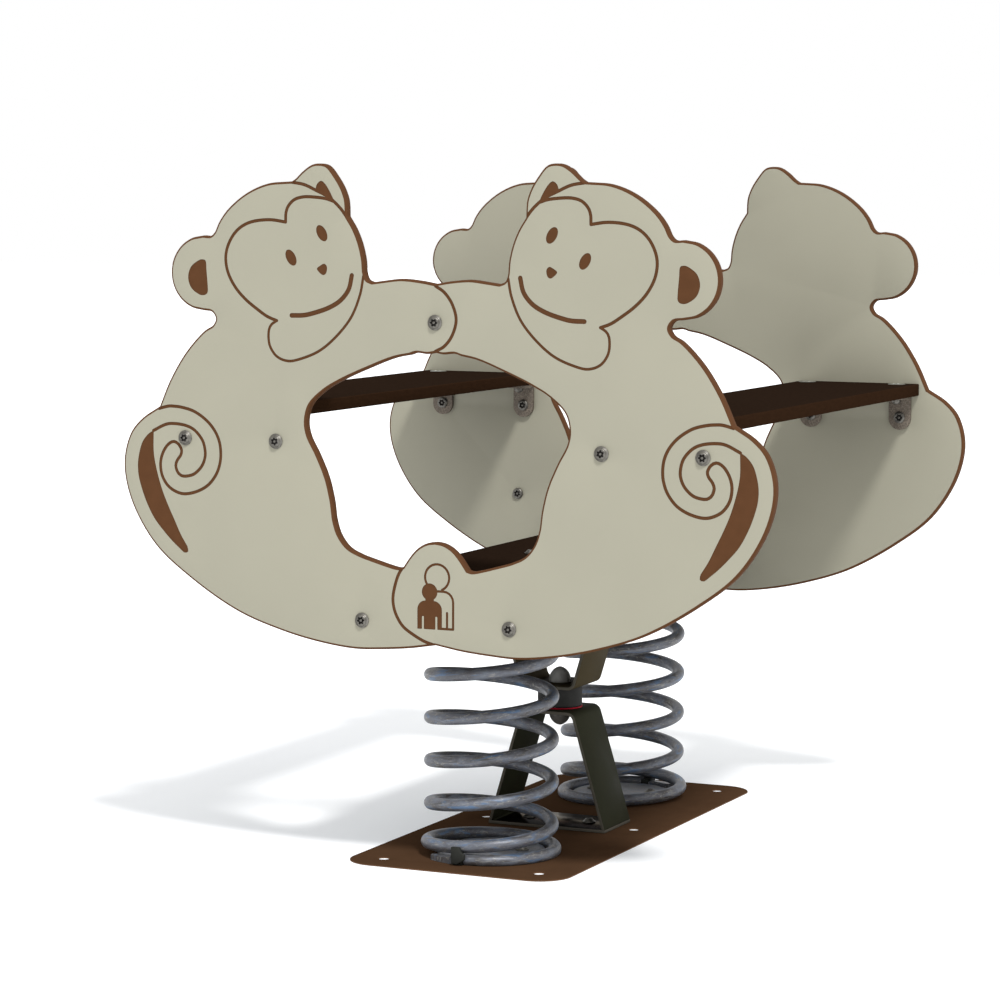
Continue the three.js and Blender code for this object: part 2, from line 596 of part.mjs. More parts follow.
// Spring clamps: a disc inside each closed coil with its two bolts, and a stop at the end of the wire
function lowerDiscGeometry(y) {
  const top = PLATE_THICK + GAP + CLAMP_DISC_THICK;
  const pieces = [rod(CLAMP_DISC_R, 0, y, PLATE_THICK + GAP, top, 20)];
  for (const x of [-CLAMP_BOLT_X, CLAMP_BOLT_X]) {
    pieces.push(rod(HEAD_R, x, y, top - 1, top + 6, BOLT_SIDES));
    pieces.push(rod(BOLT_R, x, y, SHANK_END_Z, top, BOLT_SIDES));
  }
  return join(pieces);
}

function upperDiscGeometry(y) {
  const under = FOOT_UNDER_Z - GAP - CLAMP_DISC_THICK;
  const pieces = [rod(CLAMP_DISC_R, 0, y, under, FOOT_UNDER_Z - GAP, 20)];
  for (const x of [-CLAMP_BOLT_X, CLAMP_BOLT_X]) {
    pieces.push(rod(BOLT_R, x, y, under + 1, footTopZ + 2, BOLT_SIDES));
    pieces.push(rod(HEAD_R, x, y, footTopZ + GAP, footTopZ + HEAD_HIGH, BOLT_SIDES));
    pieces.push(rod(NUT_R, x, y, under - 6, under + 1, 6));
  }
  return join(pieces);
}

function coilClampGeometry() {
  const from = TAIL_FROM_DEGREES;
  const to = TAIL_TO_DEGREES;
  const tail = new THREE.Shape([
    ...arcPoints(0, 0, TAIL_OUTER_R, from, to, 4),
    ...arcPoints(0, 0, STOP_INNER_R, to + TAIL_SLANT_DEGREES, from, 4),
  ].map(([x, y]) => new THREE.Vector2(x, y)));
  const wall = new THREE.Shape([
    [STOP_FROM_X, 7.5], [-4, 7.5], [STOP_LIP_X, 14], [STOP_LIP_X, 22], [STOP_TO_X, 25.5],
    [STOP_TO_X - 2, STOP_WALL_TOP], [STOP_FROM_X, STOP_WALL_TOP],
  ].map(([x, z]) => new THREE.Vector2(x, z)));
  return join([
    block(STOP_FROM_X, STOP_TO_X, -STOP_WALL_R - 0.5, -STOP_INNER_R, springFootZ, STOP_HIGH),
    slabAcross(wall, -STOP_OUTER_R, -STOP_WALL_R),
    extrudeUp(tail, springFootZ, TAIL_HIGH),
  ]);
}

for (const [sideName, side] of [['front', -1], ['rear', 1]]) {
  const y = side * SPRING_Y;
  place(base, `spring_disc_lower_${sideName}`, lowerDiscGeometry(y), darkSteel);
  place(rocker, `spring_disc_upper_${sideName}`, upperDiscGeometry(y), darkSteel);
  const lower = coilClampGeometry();
  const upper = turnedOver(coilClampGeometry()).rotateZ(2 * midTurn * 2 * Math.PI);
  if (side > 0) {
    lower.rotateZ(Math.PI);
    upper.rotateZ(Math.PI);
  }
  place(base, `coil_clamp_lower_${sideName}`, lower.translate(0, y, 0), darkSteel);
  place(rocker, `coil_clamp_upper_${sideName}`, upper.translate(0, y, 0), darkSteel);
}

export default seesaw;
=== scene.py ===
"""A sprung four-seat seesaw: the looks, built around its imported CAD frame.

Sizes are in millimetres, in the frame of the CAD model: +Z up, X along the rocking direction, Y across.
A flat drawing has the coordinates (u, v), and w stands out of it.
"""

from math import atan2, cos, degrees, hypot, pi, radians, sin, sqrt, tan

import bmesh
import bpy
import numpy as np
from mathutils import Matrix, Vector
from mathutils.geometry import delaunay_2d_cdt


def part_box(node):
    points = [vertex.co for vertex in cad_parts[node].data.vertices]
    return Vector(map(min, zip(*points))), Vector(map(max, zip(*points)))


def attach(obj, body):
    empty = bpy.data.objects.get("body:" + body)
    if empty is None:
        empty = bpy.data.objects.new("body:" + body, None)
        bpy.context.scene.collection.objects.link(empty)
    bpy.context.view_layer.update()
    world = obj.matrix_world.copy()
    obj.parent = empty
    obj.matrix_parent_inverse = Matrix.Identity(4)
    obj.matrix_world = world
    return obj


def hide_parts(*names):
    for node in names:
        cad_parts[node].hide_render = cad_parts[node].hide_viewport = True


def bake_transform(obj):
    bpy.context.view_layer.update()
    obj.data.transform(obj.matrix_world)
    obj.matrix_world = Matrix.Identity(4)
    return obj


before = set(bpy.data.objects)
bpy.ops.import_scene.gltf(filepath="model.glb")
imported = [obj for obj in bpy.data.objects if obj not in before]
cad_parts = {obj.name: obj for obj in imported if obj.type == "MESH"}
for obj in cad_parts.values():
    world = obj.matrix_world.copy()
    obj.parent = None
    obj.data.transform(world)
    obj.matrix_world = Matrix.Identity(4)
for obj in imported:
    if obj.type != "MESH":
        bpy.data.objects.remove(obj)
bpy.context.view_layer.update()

MM = 0.001
TURN = 2 * pi
SIDES = (("front", -1), ("rear", 1))

# Heights and places that several pieces share
PIVOT_Z = 205.0
PLATE_TOP_Z = 5.0
GAP = 0.3
FOOT_Z = PLATE_TOP_Z + GAP
SPRING_Y = 253.5
PANEL_THICK = 15.0


def cad_range(node, axis):
    """The lowest and highest coordinate of a CAD node along an axis, 0 to 2."""
    low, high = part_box(node)
    return low[axis] / MM, high[axis] / MM


def cad_middle(node, axis):
    return sum(cad_range(node, axis)) / 2


def cad_nodes(prefix):
    return sorted(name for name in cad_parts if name.startswith(prefix))


# ---- Mesh tools

WELD = 2e-7  # metres
ROUND_CREASE = 50.0
FLAT = 0.999


def placed(x, y, z):
    return Matrix.Translation(Vector((x, y, z)) * MM)


def spun(angle, axis):
    return Matrix.Rotation(radians(angle), 4, axis)


TURNED_OVER = placed(0, 0, PIVOT_Z) @ spun(180, "X") @ placed(0, 0, -PIVOT_Z)


def mesh_from(name, points, faces, materials, slots=None, crease=40.0, across=None):
    """A smooth-shaded mesh with sharp creases. In a sheet, whose faces already look outward, those that look
    across it stay flat."""
    mesh = bpy.data.meshes.new(name)
    mesh.from_pydata([Vector(p) * MM for p in points], [], faces)
    for material in materials:
        mesh.materials.append(material)
    if slots:
        mesh.polygons.foreach_set("material_index", slots)
    bm = bmesh.new()
    bm.from_mesh(mesh)
    bmesh.ops.remove_doubles(bm, verts=bm.verts, dist=WELD)
    bmesh.ops.delete(bm, geom=[v for v in bm.verts if not v.link_faces], context="VERTS")
    if across is None:
        bmesh.ops.recalc_face_normals(bm, faces=bm.faces)
    bm.normal_update()
    for face in bm.faces:
        face.smooth = across is None or abs(face.normal.dot(across)) < FLAT
    bm.to_mesh(mesh)
    bm.free()
    mesh.set_sharp_from_angle(angle=radians(crease))
    return mesh


def bevelled(mesh, width, segments=2, least_angle=35.0):
    """Rounds every edge of a mesh that is sharper than least_angle."""
    bm = bmesh.new()
    bm.from_mesh(mesh)
    limit = radians(least_angle)
    edges = [e for e in bm.edges if len(e.link_faces) == 2 and e.calc_face_angle(0) > limit]
    bmesh.ops.bevel(bm, geom=edges, offset=width * MM, segments=segments, profile=0.5, affect="EDGES",
                    clamp_overlap=True)
    for face in bm.faces:
        face.smooth = True
    bm.to_mesh(mesh)
    bm.free()
    mesh.set_sharp_from_angle(angle=radians(ROUND_CREASE))
    return mesh


def joined(name, meshes):
    """Several meshes as one, with all their materials."""
    bm = bmesh.new()
    materials = []
    for mesh in meshes:
        start = len(bm.faces)
        bm.from_mesh(mesh)
        bm.faces.ensure_lookup_table()
        for face in bm.faces[start:]:
            material = mesh.materials[face.material_index]
            if material not in materials:
                materials.append(material)
            face.material_index = materials.index(material)
    whole = bpy.data.meshes.new(name)
    bm.to_mesh(whole)
    bm.free()
    for material in materials:
        whole.materials.append(material)
    whole.set_sharp_from_angle(angle=radians(ROUND_CREASE))
    return whole


def moved(mesh, matrix):
    copy = mesh.copy()
    copy.transform(matrix)
    return copy


def recoat(mesh, coat, is_coated):
    """Gives the faces that pass a test a second coat."""
    mesh.materials.append(coat)
    for face in mesh.polygons:
        if is_coated(face):
            face.material_index = 1
    return mesh


def turned(name, profile, sides, material):
    """A solid of revolution about Z. The profile lists (radius, z) from axis to axis, or closes on itself.
    A radius is a number, or a function of the angle."""
    points = []
    rows = []
    for radius, z in profile:
        if radius == 0:
            rows.append([len(points)])
            points.append((0, 0, z))
            continue
        rows.append(range(len(points), len(points) + sides))
        for i in range(sides):
            angle = TURN * i / sides
            r = radius(angle) if callable(radius) else radius
            points.append((r * cos(angle), r * sin(angle), z))
    if len(rows[0]) > 1:
        rows.append(rows[0])
    faces = []
    for low, high in zip(rows, rows[1:]):
        for i in range(sides):
            j = (i + 1) % sides
            corners = [low[i % len(low)], low[j % len(low)], high[j % len(high)], high[i % len(high)]]
            face = list(dict.fromkeys(corners))
            if len(face) > 2:
                faces.append(face)
    return mesh_from(name, points, faces, [material])


def tube_faces(rows, sides, is_capped=True):
    """Quads between rows of points that go round a tube, and a face at each end."""
    faces = []
    for start in range(0, sides * (rows - 1), sides):
        for k in range(sides):
            after = (k + 1) % sides
            faces.append([start + k, start + after, start + sides + after, start + sides + k])
    if is_capped:
        faces += [list(range(sides))[::-1], list(range(sides * (rows - 1), sides * rows))]
    return faces


def rounded(corners, radius, steps=4, closed=False):
    """A line of corners with each one rounded. Corners on the axis, where the first number is 0, stay."""
    line = []
    count = len(corners)
    for i, corner in enumerate(corners):
        is_end = not closed and i in (0, count - 1)
        if is_end or corner[0] == 0:
            line.append(tuple(corner))
            continue
        here = Vector(corner)
        before = Vector(corners[i - 1]) - here
        after = Vector(corners[(i + 1) % count]) - here
        reach = min(radius, before.length * 0.45, after.length * 0.45)
        start = here + before.normalized() * reach
        stop = here + after.normalized() * reach
        for step in range(steps + 1):
            t = step / steps
            line.append(tuple(start * (1 - t) ** 2 + here * (2 * t * (1 - t)) + stop * t**2))
    return line


def puck(name, radius, low, high, rounding, steps, sides, material):
    """A round disc with rounded rims."""
    corners = [(0, low), (radius, low), (radius, high), (0, high)]
    return turned(name, rounded(corners, rounding, steps), sides, material)


def prism(name, outline, low, high, material, bevel, to_space):
    """An outline of (u, v) carried from w = low to w = high. to_space turns (u, v, w) into (x, y, z)."""
    points = [to_space(u, v, w) for w in (low, high) for u, v in outline]
    return bevelled(mesh_from(name, points, tube_faces(2, len(outline)), [material]), bevel)


def from_above(u, v, w):
    return (u, v, w)


def from_side(u, v, w):
    """(u, v) lies in X and Z, and w along Y."""
    return (u, w, v)


def arc(cx, cy, radius, start, stop, steps):
    angles = [radians(start + (stop - start) * i / steps) for i in range(steps + 1)]
    return [(cx + radius * cos(a), cy + radius * sin(a)) for a in angles]


def circle(cx, cy, radius, sides=32):
    return arc(cx, cy, radius, 0, 360, sides)[:-1]


def round_corners(x0, x1, y0, y1, radius, steps):
    """A rectangle with round corners."""
    loop = []
    for cx, cy, start in ((x1 - radius, y0 + radius, -90), (x1 - radius, y1 - radius, 0),
                          (x0 + radius, y1 - radius, 90), (x0 + radius, y0 + radius, 180)):
        loop += arc(cx, cy, radius, start, start + 90, steps)
    return loop


def shown(name, data):
    """A new object in the scene."""
    thing = bpy.data.objects.new(name, data)
    bpy.context.scene.collection.objects.link(thing)
    return thing


def add(name, mesh, body, node, matrix=None):
    """Puts a piece in the scene, on a CAD body, in the place of a CAD node."""
    piece = shown(name, mesh)
    if matrix is not None:
        piece.matrix_world = matrix
    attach(piece, body)
    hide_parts(node)


def add_soft(name, mesh, node):
    """Puts in a piece that reaches from the base, at one height, to the rocker, at another. It goes on no
    body, and its place is baked into its mesh.
    """
    piece = shown(name, mesh)
    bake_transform(piece)
    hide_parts(node)


# ---- Materials


class Paint:
    """One procedural material: a principled shader and the nodes that feed it."""

    def __init__(self, name, colour, roughness, metallic=0.0, specular=0.5, sheen=(1, 1, 1)):
        self.material = bpy.data.materials.new(name)
        self.material.use_nodes = True
        self.nodes = self.material.node_tree.nodes
        self.links = self.material.node_tree.links
        self.shader = self.nodes["Principled BSDF"]
        self.material.diffuse_color = (*colour, 1)
        self.set(self.shader, {"Base Color": (*colour, 1), "Roughness": roughness, "Metallic": metallic,
                               "Specular IOR Level": specular, "Specular Tint": (*sheen, 1)})

    def set(self, node, values):
        for socket, value in values.items():
            node.inputs[socket].default_value = value
        return node

    def place(self, scale=(1, 1, 1), source="Object"):
        """Texture coordinates, stretched by a scale."""
        coordinates = self.nodes.new("ShaderNodeTexCoord")
        mapping = self.set(self.nodes.new("ShaderNodeMapping"), {"Scale": scale})
        self.links.new(coordinates.outputs[source], mapping.inputs["Vector"])
        return mapping.outputs["Vector"]

    def noise(self, vector, scale, detail=3.0, roughness=0.5, distortion=0.0):
        values = {"Scale": scale, "Detail": detail, "Roughness": roughness, "Distortion": distortion}
        node = self.set(self.nodes.new("ShaderNodeTexNoise"), values)
        self.links.new(vector, node.inputs["Vector"])
        return node.outputs["Fac"]

    def ramp(self, value, stops):
        """Colours along a value: each stop is (place, colour)."""
        node = self.nodes.new("ShaderNodeValToRGB")
        elements = node.color_ramp.elements
        while len(elements) < len(stops):
            elements.new(0.5)
        for element, (position, colour) in zip(elements, stops):
            element.position = position
            element.color = (*colour, 1)
        self.links.new(value, node.inputs["Fac"])
        return node.outputs["Color"]

    def mix(self, share, first, second):
        """A colour socket mixed by a value with a second colour of three numbers."""
        node = self.nodes.new("ShaderNodeMix")
        node.data_type = "RGBA"
        node.inputs[7].default_value = (*second, 1)
        self.links.new(share, node.inputs[0])
        self.links.new(first, node.inputs[6])
        return node.outputs[2]

    def spread(self, value, low, high, to_low, to_high):
        """A value's stretch from low to high, made to run from to_low to to_high."""
        node = self.nodes.new("ShaderNodeMapRange")
        for socket, number in zip(node.inputs[1:5], (low, high, to_low, to_high)):
            socket.default_value = number
        self.links.new(value, node.inputs[0])
        return node.outputs[0]

    def feed(self, socket, value):
        self.links.new(value, self.shader.inputs[socket])

    def bump(self, height, distance, strength):
        """Relief of a depth in metres, on top of any that is there already."""
        node = self.set(self.nodes.new("ShaderNodeBump"), {"Distance": distance, "Strength": strength})
        normal = self.shader.inputs["Normal"]
        if normal.is_linked:
            self.links.new(normal.links[0].from_socket, node.inputs["Normal"])
        self.links.new(height, node.inputs["Height"])
        self.links.new(node.outputs["Normal"], normal)


def shade(colour, factor):
    return tuple(channel * factor for channel in colour)


def coat(name, colour, roughness, tone, shades, grain=None, relief=None, tone_gloss=None, grain_gloss=None,
         tone_relief=None, light_at=0.7, stretch=(1, 1, 1), grain_stretch=(1, 1, 1), **shine):
    """A material in clouds between two shades of its colour, with a finer grain. tone and grain are noises.
    The roughness follows one of them from one value to another, and each can stand in relief."""
    paint = Paint(name, colour, roughness, **shine)
    clouds = paint.noise(paint.place(stretch), *tone)
    dark, light = (shade(colour, factor) for factor in shades)
    paint.feed("Base Color", paint.ramp(clouds, [(0.3, dark), (light_at, light)]))
    if tone_gloss:
        paint.feed("Roughness", paint.spread(clouds, 0.3, 0.7, *tone_gloss))
    if grain:
        fine = paint.noise(paint.place(grain_stretch), *grain)
        paint.bump(fine, *relief)
        if grain_gloss:
            paint.feed("Roughness", paint.spread(fine, 0.3, 0.7, *grain_gloss))
    if tone_relief:
        paint.bump(clouds, *tone_relief)
    return paint.material


def board_plastic(name, colour):
    """Dark board with a lengthwise grain against slipping."""
    return coat(name, colour, 0.55, (60, 5, 0.6), (0.88, 1.14), (900, 2), (0.00018, 0.7), stretch=(5, 1, 5),
                grain_gloss=(0.5, 0.66), tone_relief=(0.0003, 0.35), specular=0.0)


def plate_paint(name, colour):
    """Powder coating with a little dust."""
    return coat(name, colour, 0.5, (14, 6, 0.6), (0.92, 1.08), (700, 2), (0.00015, 0.6), light_at=0.72,
                tone_gloss=(0.42, 0.62), specular=0.0)


def dark_steel(name, colour):
    """Dark coating on bent steel strip, a little lighter in clouds."""
    return coat(name, colour, 0.45, (14, 4), (0.9, 1.2), (650, 3), (0.00018, 0.6), light_at=0.75,
                tone_gloss=(0.38, 0.55), specular=0.01)


def cap_plastic(name, colour):
    """Grey moulded plastic with a satin skin."""
    return coat(name, colour, 0.48, (120, 4), (0.92, 1.1), (1500, 2), (0.0001, 0.5), specular=0.3)


def spring_steel(name, source):
    """Blue-grey coated spring steel, mottled along the wire with painted reflections of a blue sky, bluish
    clouds and blue patches, and with pale curly scratches. The source is the texture coordinates that it
    takes, the wire's own UV map or the object's."""
    dull, grey, sky_bluish = (0.068, 0.064, 0.062), (0.108, 0.113, 0.131), (0.150, 0.166, 0.200)
    painted_sky_blue, pale, fleck_grey = (0.085, 0.155, 0.270), (0.30, 0.285, 0.255), (0.34, 0.335, 0.32)
    paint = Paint(name, grey, 0.42, metallic=0.3, specular=0.4)
    along = paint.place((1, 4, 1), source)
    clouds = paint.noise(paint.place((1, 3, 1), source), 26, 6, 0.62, 0.6)
    sky_patches = paint.noise(along, 17, 4, 0.6, 1.0)
    scratches = paint.noise(along, 62, 4, 0.65, 1.6)
    flecks = paint.noise(paint.place((1, 1.6, 1), source), 300, 3, 0.6, 1.0)
    # The bluish clouds and the blue patches are painted reflections of a blue sky
    colour = paint.ramp(clouds, [(0.36, dull), (0.50, grey), (0.64, sky_bluish)])
    colour = paint.mix(paint.spread(sky_patches, 0.57, 0.66, 0.0, 0.75), colour, painted_sky_blue)
    colour = paint.mix(paint.spread(scratches, 0.56, 0.63, 0.0, 0.62), colour, pale)
    colour = paint.mix(paint.spread(flecks, 0.60, 0.72, 0.0, 0.35), colour, fleck_grey)
    paint.feed("Base Color", colour)
    paint.feed("Roughness", paint.spread(clouds, 0.3, 0.7, 0.30, 0.55))
    paint.bump(flecks, 0.0003, 0.5)
    return paint.material


def grey_steel():
    """Grainy grey-brown zinc on the brackets and the handrail."""
    zinc = (0.140, 0.116, 0.092)
    paint = Paint("grey_steel", zinc, 0.55, metallic=0.35, specular=0.3)
    place = paint.place()
    clouds = paint.noise(place, 90, 5, 0.65)
    grains = paint.noise(place, 520, 3, 0.6)
    speckled = paint.ramp(grains, [(0.38, shade(zinc, 0.6)), (0.5, zinc), (0.62, shade(zinc, 1.6))])
    paint.feed("Base Color", paint.mix(paint.spread(clouds, 0.4, 0.7, 0.0, 0.6), speckled, zinc))
    paint.feed("Roughness", paint.spread(grains, 0.3, 0.7, 0.48, 0.68))
    paint.bump(grains, 0.0003, 0.6)
    return paint.material


PLATE_BROWN = (0.066, 0.0352, 0.0190)

# The panels' beige faces, and the brown middle layer with the marks of the milling cutter
SKIN = coat("panel_skin", (0.312, 0.299, 0.232), 0.5, (9, 4), (0.985, 1.015), (1400, 2), (0.00012, 0.6),
            grain_gloss=(0.44, 0.58), specular=0.3)
CORE = coat("panel_core", (0.0875, 0.0385, 0.0170), 0.65, (60, 4), (0.94, 1.06), (500, 2), (0.0001, 0.6),
            grain_stretch=(1, 4, 1), specular=0.03)
BOARD = board_plastic("board_plastic", (0.0162, 0.0094, 0.0060))
BOARD_EDGE = board_plastic("board_plastic_edge", (0.0220, 0.0108, 0.0056))
PLATE_PAINT = plate_paint("plate_paint", PLATE_BROWN)
# The plate's cut rim in a lighter brown: a painted highlight along its edge
PLATE_RIM_HIGHLIGHT = plate_paint("plate_paint_rim_highlight", shade(PLATE_BROWN, 1.7))
SPRING = spring_steel("spring_steel", "UV")
SPRING_PLAIN = spring_steel("spring_steel_plain", "Object")
# The two trestles are one part in two tints: olive and khaki are painted reflections of green ground and
# bright sky on dark steel
OLIVE_PAINTED_REFLECTION = dark_steel("olive_steel_painted_reflection", (0.0262, 0.0268, 0.0160))
KHAKI_PAINTED_REFLECTION = dark_steel("khaki_steel_painted_reflection", (0.0495, 0.0385, 0.0200))
EDGE_STEEL = dark_steel("edge_steel", (0.085, 0.078, 0.063))
STOP_STEEL = dark_steel("stop_steel", (0.028, 0.029, 0.026))
STRIP_STEEL = coat("polished_strip", (0.050, 0.044, 0.035), 0.12, (20, 4), (0.88, 1.1), (300, 3),
                   (0.00001, 0.4), tone_gloss=(0.12, 0.20), metallic=0.9, sheen=(0.30, 0.27, 0.23))
GREY = grey_steel()
BRIGHT = coat("bolt_steel", (0.155, 0.147, 0.131), 0.42, (160, 4, 0.6), (0.6, 1.35), (1800, 2),
              (0.00006, 0.5), grain_gloss=(0.34, 0.52), metallic=0.85, specular=0.4)
HEAD = coat("head_steel", (0.46, 0.47, 0.44), 0.3, (500, 3), (0.85, 1.1), tone_gloss=(0.24, 0.4),
            metallic=0.9)
# A dark coat that paints shade into the drivers' recesses
RECESS_SHADE = coat("bolt_recess_painted_shade", (0.022, 0.020, 0.018), 0.8, (1500, 3), (0.7, 1.6), specular=0.1)
RUBBER = coat("buffer_rubber", (0.0195, 0.0193, 0.0180), 0.7, (40, 5, 0.65), (1.0, 1.8), (900, 2),
              (0.0002, 0.6), light_at=0.75, tone_gloss=(0.6, 0.8), specular=0.12)
RED = coat("disc_plastic", (0.36, 0.002, 0.018), 0.4, (80, 3), (0.85, 1.12), (1200, 2), (0.0001, 0.5),
           specular=0.15)
CAP = cap_plastic("cap_plastic", (0.14, 0.130, 0.115))
# The upper cap: the same grey plastic painted much lighter, as painted light where it hangs in shade
CAP_PAINTED_LIGHT = cap_plastic("cap_plastic_painted_light", (0.36, 0.36, 0.345))


# ---- Sheets cut from flat stock

RIM_STEPS = 3


def signed_area(loop):
    return sum(a[0] * b[1] - b[0] * a[1] for a, b in zip(loop, loop[1:] + loop[:1])) / 2


def wound(loop, is_outline):
    """The loop with the material on its left: outlines run anticlockwise, holes clockwise."""
    return loop if (signed_area(loop) > 0) == is_outline else loop[::-1]


def shifted(loop, distance):
    """The loop moved out of the material by a distance, or into it when the distance is negative."""
    line = []
    for before, here, after in zip(loop[-1:] + loop[:-1], loop, loop[1:] + loop[:1]):
        along = (Vector(here) - Vector(before)).normalized()
        heading = (along + (Vector(after) - Vector(here)).normalized()).normalized()
        reach = distance / max(heading.dot(along), 0.5)
        line.append((here[0] + heading.y * reach, here[1] - heading.x * reach))
    return line


def winding(points, loop):
    """How many times a loop winds round each point, for an array of points."""
    count = np.zeros(len(points), int)
    px, py = points.T
    for (ax, ay), (bx, by) in zip(loop, loop[1:] + loop[:1]):
        side = (bx - ax) * (py - ay) - (px - ax) * (by - ay)
        count += (ay <= py) & (by > py) & (side > 0)
        count -= (ay > py) & (by <= py) & (side < 0)
    return count


def in_material(points, loops):
    """Whether each point is inside the outline and outside the holes."""
    return sum((winding(points, loop) != 0).astype(int) for loop in loops) == 1


def triangulated(loops):
    """Triangles between closed loops: their points, corners and middles."""
    points = [Vector(p) for loop in loops for p in loop]
    edges = []
    for loop in loops:
        start, count = len(edges), len(loop)
        edges += [(start + i, start + (i + 1) % count) for i in range(count)]
    found = delaunay_2d_cdt(points, edges, [], 0, 1e-5, False)
    flat = np.array([tuple(p) for p in found[0]])
    corners = np.array(found[2])
    a, b, c = (flat[corners[:, i]] for i in range(3))
    area = (b[:, 0] - a[:, 0]) * (c[:, 1] - a[:, 1]) - (c[:, 0] - a[:, 0]) * (b[:, 1] - a[:, 1])
    corners[area < 0] = corners[area < 0][:, ::-1]
    return flat, corners, (a + b + c) / 3


def open_edges(triangles):
    """The edges that have a triangle on one side only, each with its triangle on the left."""
    directed = {(t[i], t[(i + 1) % 3]) for t in triangles.tolist() for i in range(3)}
    return sorted((a, b) for a, b in directed if (b, a) not in directed)


def rim_loops(triangles):
    """The open edges as closed chains."""
    follows = dict(open_edges(triangles))
    loops = []
    while follows:
        first, here = next(iter(follows.items()))
        loop = [first]
        del follows[first]
        while here != first:
            loop.append(here)
            here = follows.pop(here)
        loops.append(loop)
    return loops


def cut_sheet(name, loops, thickness, fillet, to_space, materials, grooves=(), groove_depth=1.0):
    """A flat sheet. Its first loop is the outline and the others are holes, its edges are rounded, and the
    grooves, each a closed loop, are milled in its outer face, w = 0. Material 0 is the face, 1 the cut."""
    points = []
    faces = []
    slots = []

    def layer(places, w):
        points.extend(to_space(u, v, w) for u, v in places)
        return len(points) - len(places)

    def put(new_faces, slot):
        faces.extend(new_faces)
        slots.extend([slot] * len(new_faces))

    inset = [shifted(wound(loop, i == 0), -fillet) for i, loop in enumerate(loops)]
    flat, triangles, middles = triangulated(inset + list(grooves))
    inside = in_material(middles, inset)
    milled = np.zeros(len(middles), bool)
    for groove in grooves:
        milled |= winding(middles, groove) != 0
    floor = triangles[inside & milled]
    top = layer(flat, 0)
    put((triangles[inside & ~milled] + top).tolist(), 0)
    if len(floor):
        low = layer(flat, -groove_depth)
        put((floor + low).tolist(), 1)
        put([[a + low, b + low, b + top, a + top] for a, b in open_edges(floor)], 1)

    rims = [[tuple(flat[i]) for i in rim] for rim in rim_loops(triangles[inside])]
    flat, triangles, middles = triangulated(rims)
    back = layer(flat, -thickness)
    put((triangles[in_material(middles, rims)] + back)[:, ::-1].tolist(), 0)

    bends = [pi / 2 * i / RIM_STEPS for i in range(RIM_STEPS + 1)]
    edge = [(fillet * sin(bend), fillet * (1 - cos(bend))) for bend in bends]
    edge = [(out, -depth) for out, depth in edge] + [(out, depth - thickness) for out, depth in edge[::-1]]
    for rim in rims:
        start = len(points)
        for out, w in edge:
            layer(shifted(rim, out), w)
        rings = tube_faces(len(edge), len(rim), is_capped=False)
        put([[start + i for i in face[::-1]] for face in rings], 1)
    across = Vector(to_space(0, 0, 1)) - Vector(to_space(0, 0, 0))
    return mesh_from(name, points, faces, materials, slots, across=across)


def cad_rims(node, y):
    """The closed edges of a CAD node's flat face at that Y, as lists of points."""
    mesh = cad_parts[node].data
    places = [tuple(round(c / MM, 3) for c in vertex.co) for vertex in mesh.vertices]
    kept = list(dict.fromkeys(places))
    numbers = {place: i for i, place in enumerate(kept)}
    triangles = [[numbers[places[i]] for i in polygon.vertices] for polygon in mesh.polygons]
    flat = [corners for corners in triangles if all(abs(kept[i][1] - y) < 0.01 for i in corners)]
    return [[kept[i] for i in loop] for loop in rim_loops(np.array(flat))]


# ---- Side panels

LINE_STEP = 3.5
CLOSED_STEP = 1.5
LINE_WIDTH = 4.7
JAW_WIDTH = 4.0
MOUTH_WIDTH = 6.8
HOLE_R = 5.3
PANEL_FILLET = 3.4
GROOVE_DEPTH = 0.6

# Lines milled in a panel's face, as (u, v) points that a smooth curve runs through. They are drawn for the
# animal at negative u, and mirrored for its twin.
BROW = [(-229.1, 996), (-208.1, 992.5), (-188.1, 984), (-168.1, 974.5), (-151.1, 960.5), (-139.4, 946.3)]
FACE_TOP = [(-160.6, 968.8), (-173.1, 972.6), (-190.1, 974.6), (-208.1, 975), (-223.1, 971.3),
            (-233.1, 962.5), (-237.4, 952.5), (-238.1, 938.8)]
FACE_SIDE = [(-238.1, 938.8), (-260.1, 941.8), (-281.1, 941), (-298.1, 937.5), (-313.1, 930), (-325.6, 917.5),
             (-334.4, 900), (-336.6, 882.5), (-332.1, 863), (-320.1, 843), (-303.1, 826), (-282.1, 811),
             (-268.1, 802.5), (-253.1, 797)]
JAW = [(-253.1, 797), (-261.6, 791.5), (-265.9, 784), (-266.7, 771), (-263.8, 758.6), (-254.5, 746.4),
       (-240.1, 740), (-222.1, 740.7), (-186.7, 753.6), (-158.1, 775), (-133.1, 803.6), (-118.8, 835.7),
       (-113.1, 862.9)]
MOUTH = [(-228.9, 805), (-208.1, 805.8), (-188.1, 810.5), (-170.6, 816.3), (-154.4, 824.5), (-143.1, 834.5),
         (-135.6, 846.3), (-131.6, 863.8)]
TAIL = [(-450, 664.3), (-435, 668), (-425, 668.3), (-410, 666.8), (-390, 661.3), (-370, 648.8),
        (-356.3, 633.8), (-348.8, 617.5), (-346.8, 600), (-348.8, 585), (-355, 570), (-367.5, 555),
        (-385, 545), (-405, 540), (-420, 541.8), (-435, 550), (-445, 564), (-448.3, 580), (-446.3, 593.8),
        (-440, 606.3), (-432.5, 613.8), (-425, 616.3), (-417.5, 612.5), (-412.5, 603.8), (-414.3, 596.3),
        (-420, 588.8), (-422.5, 581.3), (-420, 572.5), (-415, 567.5), (-407.5, 565.8), (-392.5, 569.3),
        (-380, 580), (-373.8, 592.5), (-373, 605), (-377.5, 620), (-390, 633.8), (-405, 640.5),
        (-425, 642.8), (-440, 640.8), (-460, 631.3)]

